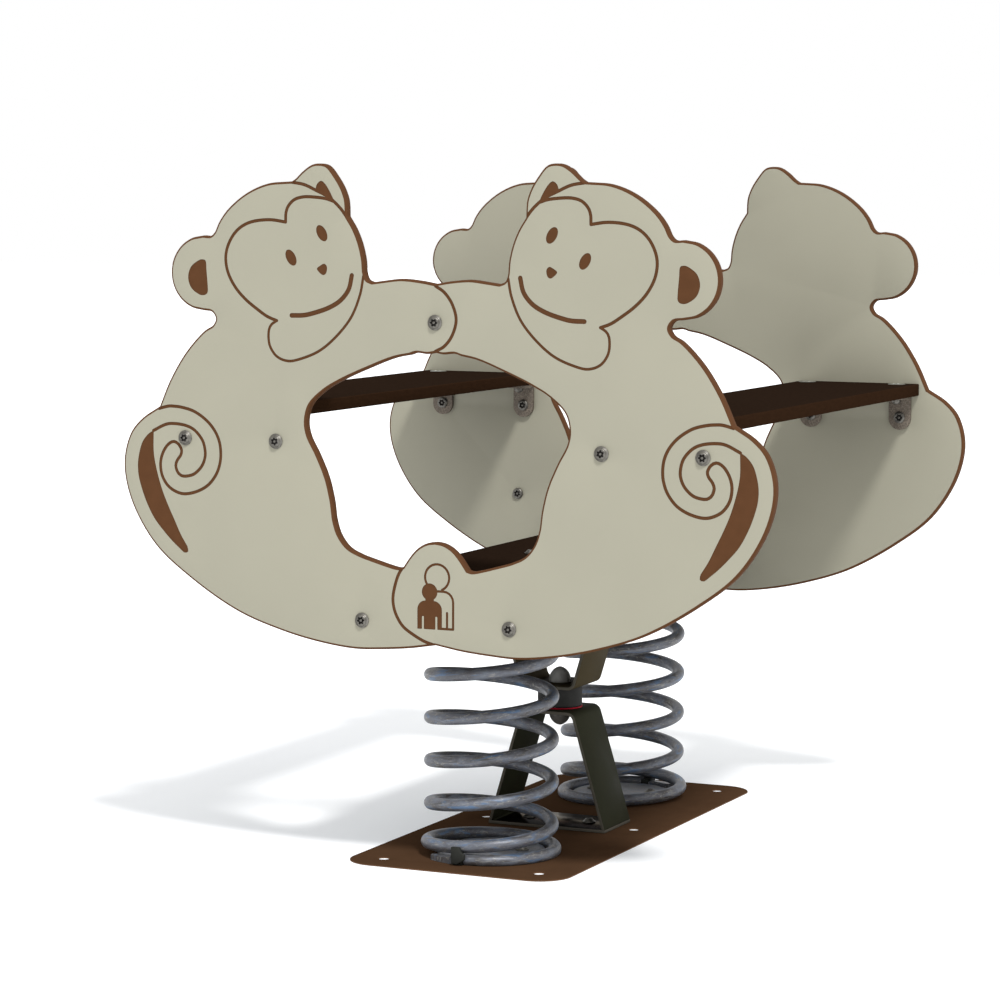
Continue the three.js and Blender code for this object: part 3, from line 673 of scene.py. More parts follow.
# Areas milled out whole, as stretches of smooth curve between corners, or as one closed curve
INNER_EAR = [[(-190, 985), (-187, 993.5), (-180.5, 998), (-173.5, 993), (-165, 980), (-157.5, 964.5)],
             [(-157.5, 964.5), (-173.1, 976.5), (-190, 985)]]
TAIL_FUR = [[(-459.5, 632), (-470, 625), (-480, 611.5), (-486.3, 588), (-486.3, 567.5), (-481.3, 547.5),
             (-472.5, 525), (-460, 502.5), (-445, 485), (-430, 470), (-417.5, 459.5), (-408.8, 453),
             (-402.5, 455), (-403.8, 462.5)],
            [(-403.8, 462.5), (-415, 480), (-425, 500), (-435, 520), (-445, 542.5), (-452.5, 565),
             (-458, 587.5), (-460, 605), (-459.5, 632)]]
OUTER_EAR = [(-374.5, 883.8), (-369.8, 880.8), (-368.8, 868), (-366.9, 845), (-367.3, 835.8), (-373, 831.9),
             (-382.4, 833.3), (-394.8, 842.8), (-399.5, 857.7), (-394.8, 872.6), (-382.4, 882.1)]
NOSE = [(-187.6, 872), (-181.5, 877.5), (-175.6, 879.8), (-171.3, 875), (-173.1, 866), (-179.1, 864)]
EYES = [(-229.6, 888), (-179.6, 923.3)]
EYE_LONG = 12.6
EYE_SHORT = 7.5
EYE_LEAN = 30
EYE_POINTS = 28

# Lines that cross the middle, drawn once: the hand in front, above, and the foot in front, below
HAND = [(0.7, 850.7), (15, 841.4), (27, 825), (33, 803.6), (27, 782), (15, 766.4), (0.7, 758.6)]
FOOT = [(-51.3, 448.8), (-57.5, 438.8), (-62.5, 425), (-66.3, 407.5), (-65.5, 392.5), (-60, 377.5),
        (-50, 363.8), (-35, 353.8), (-17.5, 345), (0, 340)]

# Two plain figures between the feet: a small solid one, in front of the outline of a tall one
FIGURE_FOOT_V = 362.5
FIGURE_LINE = 3.5
SMALL_U = -8.3
SMALL_HALF = 19.4
SMALL_SHOULDER_V = 403.5
SMALL_SHOULDER_R = 13.0
SMALL_HEAD_V = 416.1
SMALL_HEAD_R = 12.3
SLIT_TOP_V = 381.0
SLIT_U = 10.6
SLIT_HALF = 1.5
TALL_HEAD = (3.5, 437.3)
TALL_HEAD_R = 19.0
TALL_SHOULDER_V = 417.6
TALL_SIDE_U = 28.7
TALL_SHOULDER_R = 15.0


def through(guides, step):
    """Points along a smooth curve from the second guide to the last but one."""
    line = []
    for a, b, c, d in zip(guides, guides[1:], guides[2:], guides[3:]):
        count = max(1, round((c - b).length / step))
        for i in range(count):
            t = i / count
            line.append(0.5 * (2 * b + (c - a) * t + (2 * a - 5 * b + 4 * c - d) * t**2
                               + (3 * b - a - 3 * c + d) * t**3))
    return line


def smooth_line(knots):
    """Points along a smooth curve through the knots, both ends included."""
    inner = [Vector(k) for k in knots]
    guides = [2 * inner[0] - inner[1], *inner, 2 * inner[-1] - inner[-2]]
    return [*through(guides, LINE_STEP), inner[-1]]


def closed_curve(knots):
    """A closed outline that runs smoothly through the knots."""
    inner = [Vector(k) for k in knots]
    return [tuple(p) for p in through([inner[-1], *inner, *inner[:2]], CLOSED_STEP)]


def area_loop(stretches):
    """A closed outline of smooth stretches that meet in corners."""
    return [tuple(p) for stretch in stretches for p in smooth_line(stretch)[:-1]]


def stroke(knots, width):
    """The outline of a line of that width, with round ends."""
    line = smooth_line(knots)
    last = len(line) - 1
    tangents = [(line[min(i + 1, last)] - line[max(i - 1, 0)]).normalized() for i in range(last + 1)]
    half = width / 2

    def side(sign):
        return [tuple(p + Vector((-t.y, t.x)) * half * sign) for p, t in zip(line, tangents)]

    def cap(centre, tangent):
        heading = degrees(atan2(tangent.y, tangent.x))
        return arc(centre.x, centre.y, half, heading + 90, heading - 90, 6)[1:-1]

    return side(1) + cap(line[-1], tangents[-1]) + side(-1)[::-1] + cap(line[0], -tangents[0])


def eye(cx, cy):
    """A leaning oval."""
    lean = Matrix.Rotation(radians(90 + EYE_LEAN), 2)
    turns = [TURN * i / EYE_POINTS for i in range(EYE_POINTS)]
    return [tuple(Vector((cx, cy)) + lean @ Vector((EYE_LONG * cos(a), EYE_SHORT * sin(a)))) for a in turns]


def small_figure():
    """A round head on a body with round shoulders, whose arms are parted from it by two slits."""
    left = SMALL_U - SMALL_HALF
    right = SMALL_U + SMALL_HALF
    shoulder_v = SMALL_SHOULDER_V - SMALL_SHOULDER_R
    foot = FIGURE_FOOT_V
    corners = [(right, foot)]
    for slit in (SMALL_U + SLIT_U, SMALL_U - SLIT_U):
        corners += [(slit + SLIT_HALF, foot), (slit + SLIT_HALF, SLIT_TOP_V), (slit - SLIT_HALF, SLIT_TOP_V),
                    (slit - SLIT_HALF, foot)]
    body = rounded([*corners, (left, foot)], 1.2, 3)
    shoulders = arc(left + SMALL_SHOULDER_R, shoulder_v, SMALL_SHOULDER_R, 180, 90, 8)
    shoulders += arc(right - SMALL_SHOULDER_R, shoulder_v, SMALL_SHOULDER_R, 90, 0, 8)
    half = SMALL_HEAD_R * 0.55
    low = SMALL_SHOULDER_V - 2
    high = SMALL_HEAD_V - 5
    neck = [(SMALL_U - half, low), (SMALL_U + half, low), (SMALL_U + half, high), (SMALL_U - half, high)]
    return [circle(SMALL_U, SMALL_HEAD_V, SMALL_HEAD_R), neck, shoulders + body]


def tall_outline():
    """The lines of a figure behind it: the head's ring, a shoulder, a side, a foot and the legs' gap."""
    side = TALL_SIDE_U
    foot = FIGURE_FOOT_V + FIGURE_LINE / 2
    shoulder = arc(side - TALL_SHOULDER_R, TALL_SHOULDER_V - TALL_SHOULDER_R, TALL_SHOULDER_R, 90, 0, 5)
    lines = [arc(*TALL_HEAD, TALL_HEAD_R, 216, -66, 22),
             [(SMALL_U + 10, TALL_SHOULDER_V), *shoulder, (side, foot + 20), (side, foot)],
             [(side, foot), (SMALL_U + SMALL_HALF - 2, foot)],
             [(side - 9.5, foot), (side - 9.5, foot + 23)]]
    return [stroke(line, FIGURE_LINE) for line in lines]


def panel_grooves():
    one_side = [stroke(line, LINE_WIDTH) for line in (BROW, FACE_TOP, FACE_SIDE, TAIL)]
    one_side += [stroke(JAW, JAW_WIDTH), stroke(MOUTH, MOUTH_WIDTH)]
    one_side += [area_loop(INNER_EAR), area_loop(TAIL_FUR), closed_curve(OUTER_EAR), closed_curve(NOSE)]
    one_side += [eye(*place) for place in EYES]
    twin = [[(-u, v) for u, v in loop] for loop in one_side]
    middle = [stroke(HAND, LINE_WIDTH), stroke(FOOT, LINE_WIDTH)]
    return one_side + twin + middle + small_figure() + tall_outline()


def outer_face(side_name, side):
    """The Y of a panel's outer face."""
    return cad_range(f"{side_name}_panel", 1)[side > 0]


def make_panels():
    grooves = panel_grooves()
    for side_name, side in SIDES:
        node = f"{side_name}_panel"
        face_y = outer_face(side_name, side)
        loops = [[(-side * x, z) for x, _, z in rim] for rim in cad_rims(node, face_y)]
        loops.sort(key=lambda loop: -abs(signed_area(loop)))
        bolt_holes = [circle(*np.array(loop).mean(axis=0), HOLE_R) for loop in loops[2:]]

        def to_space(u, v, w, side=side, face_y=face_y):
            return (-side * u, face_y + side * w, v)

        mesh = cut_sheet(f"panel_{side_name}", loops[:2] + bolt_holes, PANEL_THICK, PANEL_FILLET, to_space,
                         [SKIN, CORE], grooves, GROOVE_DEPTH)
        add(f"panel_{side_name}", mesh, "rocker", node)


# ---- Boards and base plate

BOARD_CORNER = 3.0
BOARD_FILLET = 1.6
BRACKET_REACH = 23.0
SUNK_SEAT_R = 14.3
SUNK_SEAT_DEPTH = 3.3
PANEL_INNER_Y = 432.0
BOARD_BOLT_Y = PANEL_INNER_Y - BRACKET_REACH
BOARDS = (("seat_left", "left_seat"), ("seat_right", "right_seat"), ("foot_board", "footboard"))

PLATE_CORNER = 50.0
PLATE_FILLET = 0.6
ANCHOR_R = 8.0
ANCHOR_X = 125.0
ANCHOR_Y = 360.0


def bracket_place(node):
    """Where a bracket stands: its middle along X, and the side, -1 in front and 1 behind."""
    return cad_middle(node, 0), 1 if cad_range(node, 1)[0] > 0 else -1


def make_boards():
    for name, node in BOARDS:
        x0, x1 = cad_range(node, 0)
        under, top = cad_range(node, 2)
        outline = round_corners(x0, x1, *cad_range(node, 1), BOARD_CORNER, 4)
        seats = []
        for bracket in cad_nodes("bracket_"):
            x, side = bracket_place(bracket)
            is_on_board = abs(cad_range(bracket, 2)[1] - top) < 2 and x0 < x < x1
            if is_on_board:
                seats.append(circle(x, side * BOARD_BOLT_Y, SUNK_SEAT_R, 36))

        def to_space(u, v, w, top=top):
            return (u, v, top + w)

        mesh = cut_sheet(name, [outline], top - under, BOARD_FILLET, to_space, [BOARD, BOARD_EDGE], seats,
                         SUNK_SEAT_DEPTH)
        add(name, mesh, "rocker", node)


def make_base_plate():
    outline = round_corners(*cad_range("base_plate", 0), *cad_range("base_plate", 1), PLATE_CORNER, 14)
    holes = [circle(x, y, ANCHOR_R) for x in (-ANCHOR_X, ANCHOR_X) for y in (-ANCHOR_Y, 0, ANCHOR_Y)]

    def to_space(u, v, w):
        return (u, v, PLATE_TOP_Z + w)

    # Its cut rim takes the painted highlight
    mesh = cut_sheet("ground_plate", [outline, *holes], PLATE_TOP_Z, PLATE_FILLET, to_space,
                     [PLATE_PAINT, PLATE_RIM_HIGHLIGHT])
    add("ground_plate", mesh, "base", "base_plate")


# ---- Bolts and brackets

BOLT_R = 5.0
FLANGE_R = 11.0
DOME_R = 8.7
DOME_FOOT = 1.7
DOME_HIGH = 6.9
STAR_R = 5.0
STAR_LOBE = 0.95
STAR_DEPTH = 2.8
PIN_R = 1.9
CAP_NUT_R = 9.3
CAP_NUT_HIGH = 4.7
HEAD_SIDES = 48
STRAP_THICK = 5.0
RAIL_SCREW = 18.0


def dome(radius, low, high, angles):
    """The outline of a dome from its foot to its top, at some angles in degrees."""
    return [(radius * cos(radians(a)), low + (high - low) * sin(radians(a))) for a in angles]


def star(shrink):
    """The recess of a six-lobed safety driver."""
    return lambda angle: STAR_R - shrink + STAR_LOBE * cos(6 * angle)


def driven(name, profile, material):
    """A turned head whose profile ends at the rim of its driver's recess, whose inside has painted shade."""
    top = profile[-1][1]
    floor = top - STAR_DEPTH
    recess = [(star(-0.25), top), (star(0), top - 0.25), (star(0.1), floor), (PIN_R + 0.1, floor),
              (PIN_R, top - 0.6), (PIN_R - 0.3, top - 0.3), (0, top - 0.3)]

    # The faces deep in the recess get the painted shade
    def is_in_shaded_recess(face):
        x, y, z = face.center / MM
        return hypot(x, y) < STAR_R + STAR_LOBE and floor - 0.5 < z < top - 0.5

    return recoat(turned(name, profile + recess, HEAD_SIDES, material), RECESS_SHADE, is_in_shaded_recess)


def domed_head(name):
    """A domed head on a flange. It stands on z = 0 and points up."""
    flange = [(0, 0.3), (FLANGE_R - 0.3, 0.3), (FLANGE_R, 0.6), (FLANGE_R, 1.1), (FLANGE_R - 0.4, 1.5),
              (DOME_R + 0.5, 1.8)]
    return driven(name, flange + dome(DOME_R, DOME_FOOT, DOME_HIGH, (12, 23, 33, 42)), BRIGHT)


def cap_nut(name):
    """The low domed nut on the inner side of a panel, pointing down from z = 0."""
    foot = [(0, 0), (CAP_NUT_R - 0.3, 0), (CAP_NUT_R, 0.3)]
    nut = driven(name, foot + dome(CAP_NUT_R, 1.2, CAP_NUT_HIGH, (0, 13, 25, 35, 44)), BRIGHT)
    return moved(nut, spun(180, "X"))


def shank(name, low, high):
    return puck(name, BOLT_R, low, high, 0.6, 2, 24, BRIGHT)


def panel_bolt_mesh(name, grip, has_nut=True):
    """A panel bolt along Z, with its head's foot at the outer face, z = 0."""
    parts = [domed_head("head"), shank("shank", -grip - 0.5, 1)]
    if has_nut:
        parts.append(moved(cap_nut("nut"), placed(0, 0, -grip - GAP)))
    return joined(name, parts)


def make_panel_bolts():
    """Every panel bolt, each with its head left at another angle."""
    through_strap = panel_bolt_mesh("bolt_strap", PANEL_THICK + GAP + STRAP_THICK)
    through_panel = panel_bolt_mesh("bolt_plain", PANEL_THICK)
    into_rail = panel_bolt_mesh("bolt_rail", PANEL_THICK + RAIL_SCREW, has_nut=False)
    for node in cad_nodes("bolt_"):
        side_name, side = SIDES[node.endswith("_rear")]
        x = cad_middle(node, 0)
        place = placed(x, outer_face(side_name, side), cad_middle(node, 2)) @ spun(-side * 90, "X")
        mesh = into_rail if "handrail" in node else through_panel if "spare" in node else through_strap
        add(f"panel_{node}", mesh, "rocker", node, place @ spun(17 * x % 60, "Z"))


STRAP_HALF = 18.0
STRAP_TOE = 2.0
STRAP_BEND = 6.5
STRAP_DROP = 35.5
STRAP_ROUNDING = 0.7


def strap_mesh():
    """A bracket bent from flat bar, with two round ends. The outside of its bend touches y = 0 and z = 0: one
    leg lies along -Y under the board, and the other hangs down the panel."""
    reach = BRACKET_REACH - GAP
    drop = STRAP_DROP + STRAP_TOE - GAP
    swing = [radians(90 * i / 8) for i in range(9)]
    # Rows across the bar: y and z, the way into its thickness, and half its width
    rows = [(-reach - STRAP_HALF * cos(a), 0, 0, -1, STRAP_HALF * sin(a)) for a in swing]
    rows += [(STRAP_BEND * (sin(a) - 1), STRAP_BEND * (cos(a) - 1), -sin(a), -cos(a), STRAP_HALF)
             for a in swing]
    rows += [(0, -drop - STRAP_HALF * sin(a), -1, 0, STRAP_HALF * cos(a)) for a in swing]
    points = []
    for y, z, in_y, in_z, half in rows:
        inner = (y + in_y * STRAP_THICK, z + in_z * STRAP_THICK)
        points += [(-half, y, z), (half, y, z), (half, *inner), (-half, *inner)]
    faces = tube_faces(len(rows), 4, is_capped=False)
    return bevelled(mesh_from("strap", points, faces, [GREY]), STRAP_ROUNDING)


SUNK_HEAD_R = 14.0
SUNK_HEAD = 3.0
SUNK_HEAD_PROUD = 0.6
DOME_NUT_FLATS = 13.0
DOME_NUT_BASE = 4.5
DOME_NUT_HIGH = 8.0
CHAMFER = 0.53


def hexagon(flats, widest=1.0):
    """The radius of a hexagon of that width across flats, at most a share of that width."""
    def radius(angle):
        off = (degrees(angle) + 30) % 60 - 30
        return min(flats / 2 / cos(radians(off)), flats * widest)
    return radius


def dome_nut(name):
    """A dome nut that points down from z = 0."""
    flats = DOME_NUT_FLATS
    foot = -DOME_NUT_BASE
    profile = [(0, 0), (hexagon(flats, CHAMFER), 0), (hexagon(flats), -0.5), (hexagon(flats), foot + 0.5),
               (hexagon(flats, CHAMFER), foot)]
    profile += dome(flats / 2 - 0.4, foot, -DOME_NUT_HIGH, (0, 20, 40, 60, 76)) + [(0, -DOME_NUT_HIGH)]
    return turned(name, profile[::-1], HEAD_SIDES, BRIGHT)


def hex_nut(flats, top, high, bore):
    """A hexagon nut below a height, with chamfered corners."""
    foot = top - high
    profile = [(bore, foot), (hexagon(flats, CHAMFER), foot), (hexagon(flats), foot + 0.8),
               (hexagon(flats), top - 0.8), (hexagon(flats, CHAMFER), top), (bore, top)]
    return turned("nut", profile, HEAD_SIDES, BRIGHT)


def board_bolt_mesh(board_thick):
    """A board bolt with its flat head, z = 0 at the board's underside."""
    top = board_thick + SUNK_HEAD_PROUD
    foot = top - SUNK_HEAD
    head = [(0, foot), (SUNK_HEAD_R, foot), (SUNK_HEAD_R, top - 0.5), (SUNK_HEAD_R - 0.7, top - 0.05)]
    rim = (star(-0.25), top)
    under = -GAP - STRAP_THICK
    return joined("board_bolt", [driven("head", [*head, rim], HEAD), shank("shank", under - 2, top - 4),
                                 moved(dome_nut("nut"), placed(0, 0, under))])


def make_brackets():
    strap = strap_mesh()
    seat_under, seat_top = cad_range("left_seat", 2)
    thick = seat_top - seat_under
    bolt = board_bolt_mesh(thick)
    for node in cad_nodes("bracket_"):
        x, side = bracket_place(node)
        under = cad_range(node, 2)[1] - SUNK_HEAD_PROUD - thick
        corner = placed(x, side * (PANEL_INNER_Y - GAP), under - GAP) @ spun(0 if side > 0 else 180, "Z")
        place = node.removeprefix("bracket_")
        add(f"strap_{place}", strap, "rocker", node, corner)
        add(f"board_bolt_{place}", bolt, "rocker", node, placed(x, side * BOARD_BOLT_Y, under))


# ---- Handrail

RAIL_R = 16.0
RAIL_BORE = 13.0
RAIL_PLUG = 20.0


def make_handrail():
    """A tube with a plug in each end, which the panel bolts go into."""
    y0, y1 = cad_range("handrail", 1)
    plug = y1 - RAIL_PLUG
    profile = [(HOLE_R, y0), (RAIL_R, y0), (RAIL_R, y1), (HOLE_R, y1), (HOLE_R, plug), (RAIL_BORE, plug),
               (RAIL_BORE, -plug), (HOLE_R, -plug)]
    mesh = turned("grab_rail", rounded(profile, 1.5, 3, closed=True), 40, GREY)
    mesh.transform(placed(0, 0, cad_middle("handrail", 2)) @ spun(90, "X"))
    add("grab_rail", mesh, "rocker", "handrail")


# ---- Trestles and buffer

TRESTLE_HALF_WIDTH = 51.5
TRESTLE_FOOT_X = 98.0
LEG_FOOT_X = 97.5
LEG_TOP_X = 44.8
STRIP = 5.0
TRESTLE_TOP_Z = 188.0
TRESTLE_BEND = 14.0
TRESTLE_BOLT_X = 50.0
TRESTLE_NUT_DROP = 8.0
STRIP_TOP_Z = FOOT_Z + STRIP
STRIP_ROUNDING = 0.8
BEAD_R = 2.6
BEAD_RIPPLE = 2.4
BEAD_SIDES = 10
WASHER_R = 10.5
WASHER_TOP = 1.8
FOOT_NUT_FLATS = 16.0


def bent_outline():
    """The side view of the bent strip: two leaning legs and a top, with round bends."""
    lean = atan2(LEG_FOOT_X - LEG_TOP_X, TRESTLE_TOP_Z - STRIP_TOP_Z)

    def half(depth):
        """One side's line from the foot to the top, that deep inside the outer face."""
        foot = (LEG_FOOT_X - depth / cos(lean), STRIP_TOP_Z)
        centre = (LEG_TOP_X - TRESTLE_BEND * tan((pi / 2 - lean) / 2), TRESTLE_TOP_Z - TRESTLE_BEND)
        return [foot, *arc(*centre, TRESTLE_BEND - depth, degrees(lean), 90, 8)]

    outer = half(0)
    inner = half(STRIP)
    return outer + [(-x, z) for x, z in outer[::-1]] + [(-x, z) for x, z in inner] + inner[::-1]


def weld_bead(x, z, side, material):
    """A rippled weld along the inner foot of a leg."""
    half = TRESTLE_HALF_WIDTH - 3
    rows = round(2 * half / (BEAD_RIPPLE / 3))
    points = []
    for i in range(rows + 1):
        y = -half + 2 * half * i / rows
        end = min(1, (half - abs(y)) / 3)
        ripple = 0.88 + 0.12 * cos(TURN * y / BEAD_RIPPLE)
        radius = BEAD_R * ripple * sqrt(max(end, 0.02))
        for k in range(BEAD_SIDES):
            a = TURN * k / BEAD_SIDES
            points.append((x + side * radius * cos(a), y - 0.8 * sin(a) ** 2, z + radius * sin(a)))
    return mesh_from("bead", points, tube_faces(rows + 1, BEAD_SIDES), [material], crease=80)


def trestle_mesh(material):
    width = TRESTLE_HALF_WIDTH
    bent = prism("bent", bent_outline(), -width, width, material, STRIP_ROUNDING, from_side)
    recoat(bent, EDGE_STEEL, lambda face: abs(face.normal.y) > 0.5)
    outline = round_corners(-TRESTLE_FOOT_X, TRESTLE_FOOT_X, -width, width, 1.5, 3)
    foot = prism("foot", outline, FOOT_Z, STRIP_TOP_Z, STRIP_STEEL, STRIP_ROUNDING, from_above)
    recoat(foot, EDGE_STEEL, lambda face: face.normal.z < 0.8)
    beads = [weld_bead(side * (LEG_FOOT_X - STRIP - BEAD_R), STRIP_TOP_Z, side, material) for side in (-1, 1)]
    return joined("trestle", [bent, foot, *beads])


def foot_bolt_mesh(under, nut_high=0):
    """A bolt with a washer and a domed head, from z = 0 at the washer's foot down to under, where it may have
    a nut."""
    parts = [puck("washer", WASHER_R, 0.2, WASHER_TOP, 0.4, 2, 40, BRIGHT),
             moved(domed_head("head"), placed(0, 0, 1.2) @ Matrix.Diagonal((0.82, 0.82, 0.9, 1))),
             shank("shank", under, 2)]
    if nut_high:
        parts.append(hex_nut(FOOT_NUT_FLATS, under + nut_high, nut_high, BOLT_R))
    return joined("foot_bolt", parts)


def make_trestles():
    board_top = cad_range("footboard", 2)[1]
    nut_foot = 2 * PIVOT_Z - STRIP_TOP_Z - TRESTLE_NUT_DROP - board_top
    low_bolt = foot_bolt_mesh(0.5 - STRIP_TOP_Z - GAP)
    high_bolt = foot_bolt_mesh(nut_foot, nut_high=7.5)
    # Each trestle's tint is a painted reflection
    add("trestle_low", trestle_mesh(OLIVE_PAINTED_REFLECTION), "base", "lower_trestle")
    add("trestle_high", trestle_mesh(KHAKI_PAINTED_REFLECTION), "rocker", "upper_trestle", TURNED_OVER)
    for hand, x in (("left", -TRESTLE_BOLT_X), ("right", TRESTLE_BOLT_X)):
        add(f"foot_bolt_low_{hand}", low_bolt, "base", f"trestle_bolt_{hand}",
            placed(x, 0, STRIP_TOP_Z))
        add(f"foot_bolt_high_{hand}", high_bolt, "rocker", f"footboard_bolt_{hand}",
            placed(x, 0, board_top))


BUFFER_R = 34.5
BUFFER_ROUNDING = 2.5
STUD_R = 6.0
THREAD_PITCH = 1.75
NUT_FLATS = 19.0
NUT_HIGH = 9.0
CAP_R = 17.0
CAP_HIGH = 23.4
CAP_WALL = 2.0
CAP_STRAIGHT = 0.12


def make_buffer():
    """The rubber buffer, in rings close enough to bend, and the disc below it."""
    z0, z1 = cad_range("rubber_buffer", 2)
    line = rounded([(0, z0), (BUFFER_R, z0), (BUFFER_R, z1), (0, z1)], BUFFER_ROUNDING, 5)
    rings = []
    for (r0, h0), (r1, h1) in zip(line, line[1:]):
        count = max(1, round(abs(h1 - h0) / 3))
        rings += [(r0 + (r1 - r0) * i / count, h0 + (h1 - h0) * i / count) for i in range(count)]
    rubber = turned("buffer_rubber", rings + [line[-1]], 64, RUBBER)
    add_soft("buffer_rubber", rubber, "rubber_buffer")
    disc = puck("red_disc", cad_range("buffer_disc", 0)[1], *cad_range("buffer_disc", 2), 0.6, 3, 64, RED)
    add("red_disc", disc, "base", "buffer_disc")


def cap_mesh(plastic):
    """A bullet-shaped cap that hangs from z = 0, with a rim at its foot."""
    def side(radius, high):
        ogive = [(radius * cos(radians(a)) ** 1.15,
                  -high * (CAP_STRAIGHT + (1 - CAP_STRAIGHT) * sin(radians(a)))) for a in range(0, 85, 9)]
        return [(radius, 0), *ogive, (0, -high)]

    inside = side(CAP_R - CAP_WALL, CAP_HIGH - CAP_WALL)[::-1]
    rim = [(CAP_R - 0.2, 0), (CAP_R + 0.4, -0.3), (CAP_R + 0.4, -2.0), (CAP_R, -2.4)]
    return turned("stud_cap", inside + rim + side(CAP_R, CAP_HIGH)[1:], 48, plastic)


def stud_mesh(low, high):
    """A threaded stud."""
    line = [(0, low), (STUD_R - 1.2, low)]
    for i in range(int((high - low) / THREAD_PITCH)):
        line += [(STUD_R - 0.9, low + THREAD_PITCH * i + 0.2), (STUD_R, low + THREAD_PITCH * (i + 0.5))]
    return turned("stud", line + [(STUD_R - 1.2, high), (0, high)], 28, BRIGHT)


def make_studs():
    under = TRESTLE_TOP_Z - STRIP - GAP
    nut = hex_nut(NUT_FLATS, under, NUT_HIGH, STUD_R)
    # The upper cap takes the copy with painted light
    levels = (("lower", "base", Matrix.Identity(4), CAP), ("upper", "rocker", TURNED_OVER, CAP_PAINTED_LIGHT))
    for level, body, matrix, plastic in levels:
        stud = stud_mesh(*cad_range(f"{level}_stud", 2))
        cap = moved(cap_mesh(plastic), placed(0, 0, under))
        add(f"stud_{level}", stud, body, f"{level}_stud")
        add(f"nut_{level}", nut, body, f"{level}_nut", matrix)
        add(f"cap_{level}", cap, body, f"{level}_cap", matrix)


# ---- Springs and their clamps

# The wire of a spring's lower half climbs from closed coils to open ones, and narrows. Its upper half is the
# lower one turned over. Places along the wire are in turns from the +X side.
WIRE_R = 9.5
COIL_R = 90.7
END_COIL_R = 95.0
COIL_PITCH = 64.0
END_TURN = -448 / 360
RISE_FROM = -378 / 360
RISE_TO = 11 / 360
RISE_TURNS = RISE_TO - RISE_FROM
NARROW_FROM = -150 / 360
NARROW_TO = 20 / 360
WIRE_FOOT_Z = 11.5
MID_TURN = RISE_TO + (PIVOT_Z - WIRE_FOOT_Z - COIL_PITCH * RISE_TURNS / 2) / COIL_PITCH
STEPS_PER_TURN = 60
WIRE_SIDES = 24
WIRE_RIM = ((0.8, 0.3), (1.4, 1.1))


def wire_point(turn):
    """The middle of the wire."""
    is_low = turn <= MID_TURN
    low_turn = turn if is_low else 2 * MID_TURN - turn
    climbed = min(max(low_turn - RISE_FROM, 0), RISE_TURNS)
    z = WIRE_FOOT_Z + COIL_PITCH * (climbed**2 / (2 * RISE_TURNS) + max(0, low_turn - RISE_TO))
    t = min(max((low_turn - NARROW_FROM) / (NARROW_TO - NARROW_FROM), 0), 1)
    radius = END_COIL_R + (COIL_R - END_COIL_R) * t * t * (3 - 2 * t)
    return Vector((radius * cos(TURN * turn), radius * sin(TURN * turn), z if is_low else 2 * PIVOT_Z - z))


def wire_rows():
    """Places along the wire, each with the ways ahead, outward and up, and a radius. The rims of its cut ends
    are broken."""
    turns = 2 * (MID_TURN - END_TURN)
    steps = round(turns * STEPS_PER_TURN)
    rows = []
    for i in range(steps + 1):
        turn = END_TURN + turns * i / steps
        ahead = (wire_point(turn + 1e-4) - wire_point(turn - 1e-4)).normalized()
        outward = Vector((cos(TURN * turn), sin(TURN * turn), 0))
        outward = (outward - ahead * outward.dot(ahead)).normalized()
        rows.append((wire_point(turn), ahead, outward, ahead.cross(outward), WIRE_R))

    def rim(end, sign):
        here, ahead, *across, radius = rows[end]
        return [(here + ahead * sign * reach, ahead, *across, radius - less) for reach, less in WIRE_RIM]

    return rim(0, -1)[::-1] + rows + rim(-1, 1)


def spring_mesh(name):
    """The wire, swept along its line and ground flat at both ends of the spring. Its UV map runs along the
    wire and round it, in metres."""
    rows = wire_rows()
    along = [0.0]
    for before, after in zip(rows, rows[1:]):
        along.append(along[-1] + (after[0] - before[0]).length)
    points = []
    for here, _, outward, up, radius in rows:
        for k in range(WIRE_SIDES):
            a = TURN * k / WIRE_SIDES
            point = here + (outward * cos(a) + up * sin(a)) * radius
            point.z = min(max(point.z, FOOT_Z), 2 * PIVOT_Z - FOOT_Z)
            points.append(point)
    faces = tube_faces(len(rows), WIRE_SIDES)
    maps = []
    for i in range(len(rows) - 1):
        for k in range(WIRE_SIDES):
            corners = ((i, k), (i, k + 1), (i + 1, k + 1), (i + 1, k))
            maps += [(along[row], TURN * WIRE_R * side / WIRE_SIDES) for row, side in corners]
    for cap in faces[-2:]:
        maps += [(points[i].x, points[i].z) for i in cap]
    mesh = bpy.data.meshes.new(name)
    mesh.from_pydata([p * MM for p in points], [], faces)
    layer = mesh.uv_layers.new(name="wire")
    layer.data.foreach_set("uv", [value * MM for pair in maps for value in pair])
    mesh.materials.append(SPRING)
    mesh.shade_smooth()
    mesh.set_sharp_from_angle(angle=radians(ROUND_CREASE))
    return mesh


def spring_place(side):
    """A spring's place on the ground. The rear one is turned half round."""
    return placed(0, side * SPRING_Y, 0) @ spun(0 if side < 0 else 180, "Z")


def make_springs():
    for side_name, side in SIDES:
        name = f"coil_{side_name}"
        mesh = moved(spring_mesh(name), spring_place(side))
        add_soft(name, mesh, f"{side_name}_spring")


CLAMP_DISC_R = 80.0
CLAMP_DISC_THICK = 8.0
CLAMP_BOLT_X = 50.0
CLAMP_NUT_DROP = 7.0
STOP_FROM_X = -13.7
STOP_TO_X = 1.4
STOP_INNER_R = 86.0
STOP_OUTER_R = 112.0
STOP_HIGH = 17.5
STOP_WALL_R = 105.5
STOP_WALL_TOP = 32.4
STOP_LIP_X = 7.0
TAIL_OUTER_R = 104.0
TAIL_HIGH = 15.5
TAIL_LOW = 15.0
TAIL_FROM = -98
TAIL_TO = -124
TAIL_ROWS = 8


def disc_mesh():
    """The disc inside a closed coil, dished a little, with z = 0 at its foot."""
    radius = CLAMP_DISC_R
    high = CLAMP_DISC_THICK
    corners = [(0, 0), (radius, 0), (radius, high - 2), (radius - 9, high), (0, high)]
    return turned("clamp_disc", rounded(corners, 1.2, 3), 72, SPRING_PLAIN)


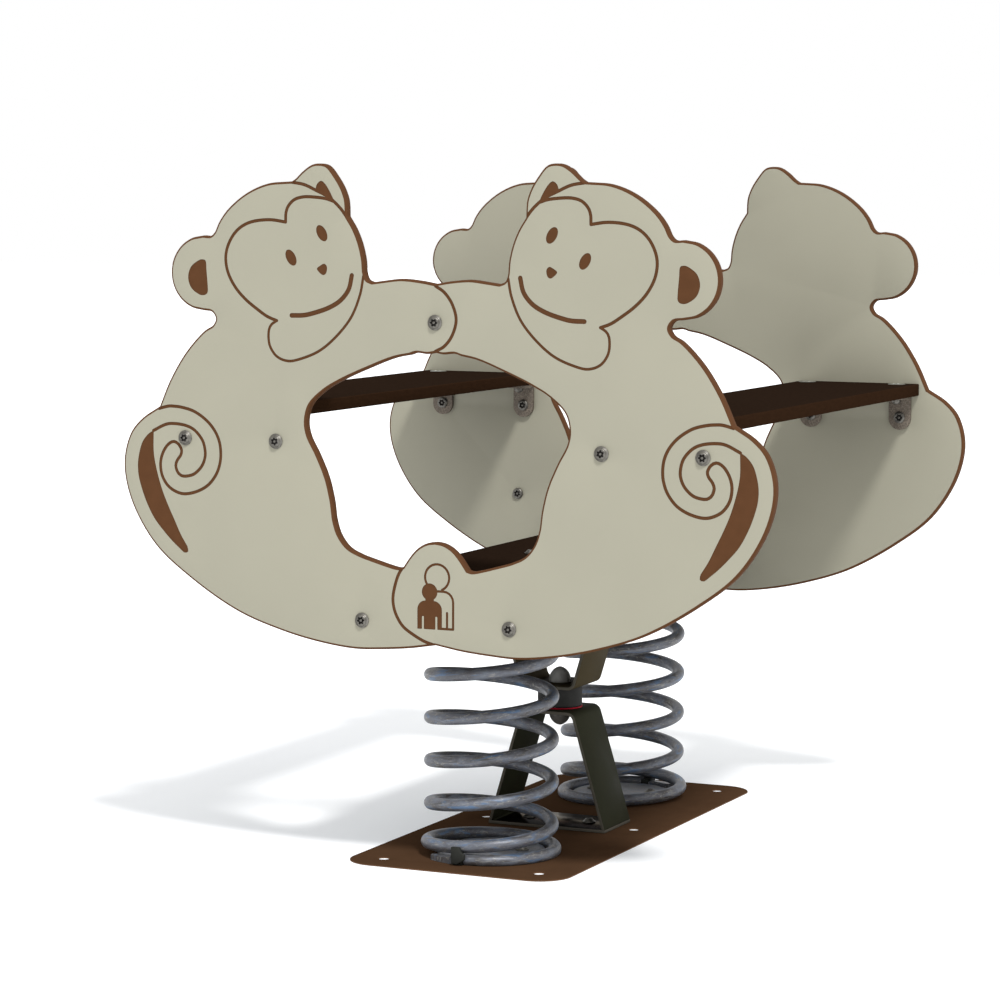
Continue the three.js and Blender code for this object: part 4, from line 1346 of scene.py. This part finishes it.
def stop_mesh():
    """The black stop at the wire's end: a block, and a wall along its outer side with a lip over the wire."""
    block = [(STOP_FROM_X, FOOT_Z), (STOP_TO_X, FOOT_Z), (STOP_TO_X, STOP_HIGH), (STOP_FROM_X, STOP_HIGH)]
    wall = [(STOP_FROM_X, 7.5), (-4, 7.5), (STOP_LIP_X, 14), (STOP_LIP_X, 22), (STOP_TO_X, 25.5),
            (STOP_TO_X - 2, STOP_WALL_TOP), (STOP_FROM_X, STOP_WALL_TOP)]
    parts = [prism("block", block, -STOP_WALL_R - 0.5, -STOP_INNER_R, STOP_STEEL, 0.6, from_side),
             prism("wall", wall, -STOP_OUTER_R, -STOP_WALL_R, STOP_STEEL, 0.9, from_side)]
    return joined("stop", parts)


def tail_mesh():
    """The wire's thin ground tip beyond the stop, which falls away towards its slanted end."""
    points = []
    for i in range(TAIL_ROWS + 1):
        share = i / TAIL_ROWS
        high = TAIL_HIGH + (TAIL_LOW - TAIL_HIGH) * share
        # Radius, height, and the degrees by which this edge stops short of the tip
        section = ((STOP_INNER_R, FOOT_Z, 5), (TAIL_OUTER_R, FOOT_Z, 0), (TAIL_OUTER_R, high - 2, 0),
                   (TAIL_OUTER_R - 4, high, 1), (STOP_INNER_R + 3, high, 4), (STOP_INNER_R, high - 2, 5))
        for radius, z, lag in section:
            a = radians(TAIL_FROM + (TAIL_TO + lag - TAIL_FROM) * share)
            points.append((radius * cos(a), radius * sin(a), z))
    return mesh_from("tail", points, tube_faces(TAIL_ROWS + 1, 6), [SPRING_PLAIN], crease=30)


def make_clamps():
    disc = disc_mesh()
    stop = stop_mesh()
    tail = tail_mesh()
    over_middle = Matrix.Rotation(2 * MID_TURN * TURN, 4, "Z") @ TURNED_OVER
    board_under, board_top = cad_range("footboard", 2)
    low_bolt = foot_bolt_mesh(-CLAMP_DISC_THICK - 4)
    high_bolt = foot_bolt_mesh(board_under - board_top - CLAMP_DISC_THICK - CLAMP_NUT_DROP, nut_high=6.5)
    for side_name, side in SIDES:
        y = side * SPRING_Y
        over = placed(0, y, board_under - GAP) @ spun(180, "X")
        ends = (("low", "base", "lower", placed(0, y, FOOT_Z), Matrix.Identity(4)),
                ("high", "rocker", "upper", over, over_middle))
        for level, body, cad_level, place, _ in ends:
            node = f"spring_disc_{cad_level}_{side_name}"
            add(f"clamp_disc_{level}_{side_name}", disc, body, node, place)
        for hand, x in (("left", -CLAMP_BOLT_X), ("right", CLAMP_BOLT_X)):
            add(f"clamp_bolt_low_{side_name}_{hand}", low_bolt, "base",
                f"spring_disc_lower_{side_name}", placed(x, y, FOOT_Z + CLAMP_DISC_THICK))
            add(f"clamp_bolt_high_{side_name}_{hand}", high_bolt, "rocker",
                f"spring_disc_upper_{side_name}", placed(x, y, board_top))
        for level, body, cad_level, _, turn in ends:
            node = f"coil_clamp_{cad_level}_{side_name}"
            place = spring_place(side) @ turn
            add(f"wire_clamp_{level}_{side_name}", stop, body, node, place)
            add(f"wire_tail_{level}_{side_name}", tail, body, node, place)


# ---- Floor, light and camera

FLOOR_HALF = 30000.0
FLOOR_Z = 3.4  # the ground stands a little way up the plate's edge
FLOOR_ALBEDO = 0.88
FLOOR_GLOW = 0.19
FLOOR_TINT = (0.82, 0.91, 1.0, 1)
SKY_STRENGTH = 0.9
BACKDROP_STRENGTH = 1.0
SUN_STRENGTH = 2.6
SUN_TRAVEL = Vector((-0.5, 0.527, -1.0))
SUN_SOFTNESS = 8

CAMERA_PLACE = (2020.8, -4644.3, 995.4)
CAMERA_HEADING = 24.574
CAMERA_DOWN = 5.486
CAMERA_ROLL = 0.135
CAMERA_LENS = 118.84
CAMERA_SENSOR = 36.0


def make_floor():
    half = FLOOR_HALF
    corners = [(-half, -half, FLOOR_Z), (half, -half, FLOOR_Z), (half, half, FLOOR_Z), (-half, half, FLOOR_Z)]
    paint = Paint("studio_floor", (FLOOR_ALBEDO,) * 3, 0.9, specular=0.0)
    paint.set(paint.shader, {"Emission Color": FLOOR_TINT, "Emission Strength": FLOOR_GLOW})
    shown("studio_floor", mesh_from("studio_floor", corners, [[0, 1, 2, 3]], [paint.material]))


def make_light():
    """Soft light from all round, a sun, and a backdrop that the camera sees as plain white."""
    world = bpy.data.worlds.new("studio")
    world.use_nodes = True
    nodes = world.node_tree.nodes
    links = world.node_tree.links
    mix = nodes.new("ShaderNodeMixShader")
    lights = ((nodes["Background"], SKY_STRENGTH), (nodes.new("ShaderNodeBackground"), BACKDROP_STRENGTH))
    for socket, (light, strength) in zip(mix.inputs[1:], lights):
        light.inputs["Color"].default_value = (1, 1, 1, 1)
        light.inputs["Strength"].default_value = strength
        links.new(light.outputs["Background"], socket)
    links.new(nodes.new("ShaderNodeLightPath").outputs["Is Camera Ray"], mix.inputs["Fac"])
    links.new(mix.outputs["Shader"], nodes["World Output"].inputs["Surface"])
    bpy.context.scene.world = world

    sun = bpy.data.lights.new("sun", "SUN")
    sun.energy = SUN_STRENGTH
    sun.angle = radians(SUN_SOFTNESS)
    lamp = shown("sun", sun)
    lamp.rotation_mode = "QUATERNION"
    lamp.rotation_quaternion = SUN_TRAVEL.to_track_quat("-Z", "Y")


def make_camera():
    data = bpy.data.cameras.new("camera")
    data.lens = CAMERA_LENS
    data.sensor_width = CAMERA_SENSOR
    data.clip_start = 0.1
    data.clip_end = 200
    camera = shown("camera", data)
    aim = spun(CAMERA_HEADING, "Z") @ spun(90 - CAMERA_DOWN, "X") @ spun(CAMERA_ROLL, "Z")
    camera.matrix_world = placed(*CAMERA_PLACE) @ aim
    bpy.context.scene.camera = camera


make_panels()
make_boards()
make_base_plate()
make_panel_bolts()
make_brackets()
make_handrail()
make_trestles()
make_buffer()
make_studs()
make_springs()
make_clamps()
make_floor()
make_light()
make_camera()
bpy.context.scene.view_settings.view_transform = "Standard"
bpy.context.scene.view_settings.look = "None"
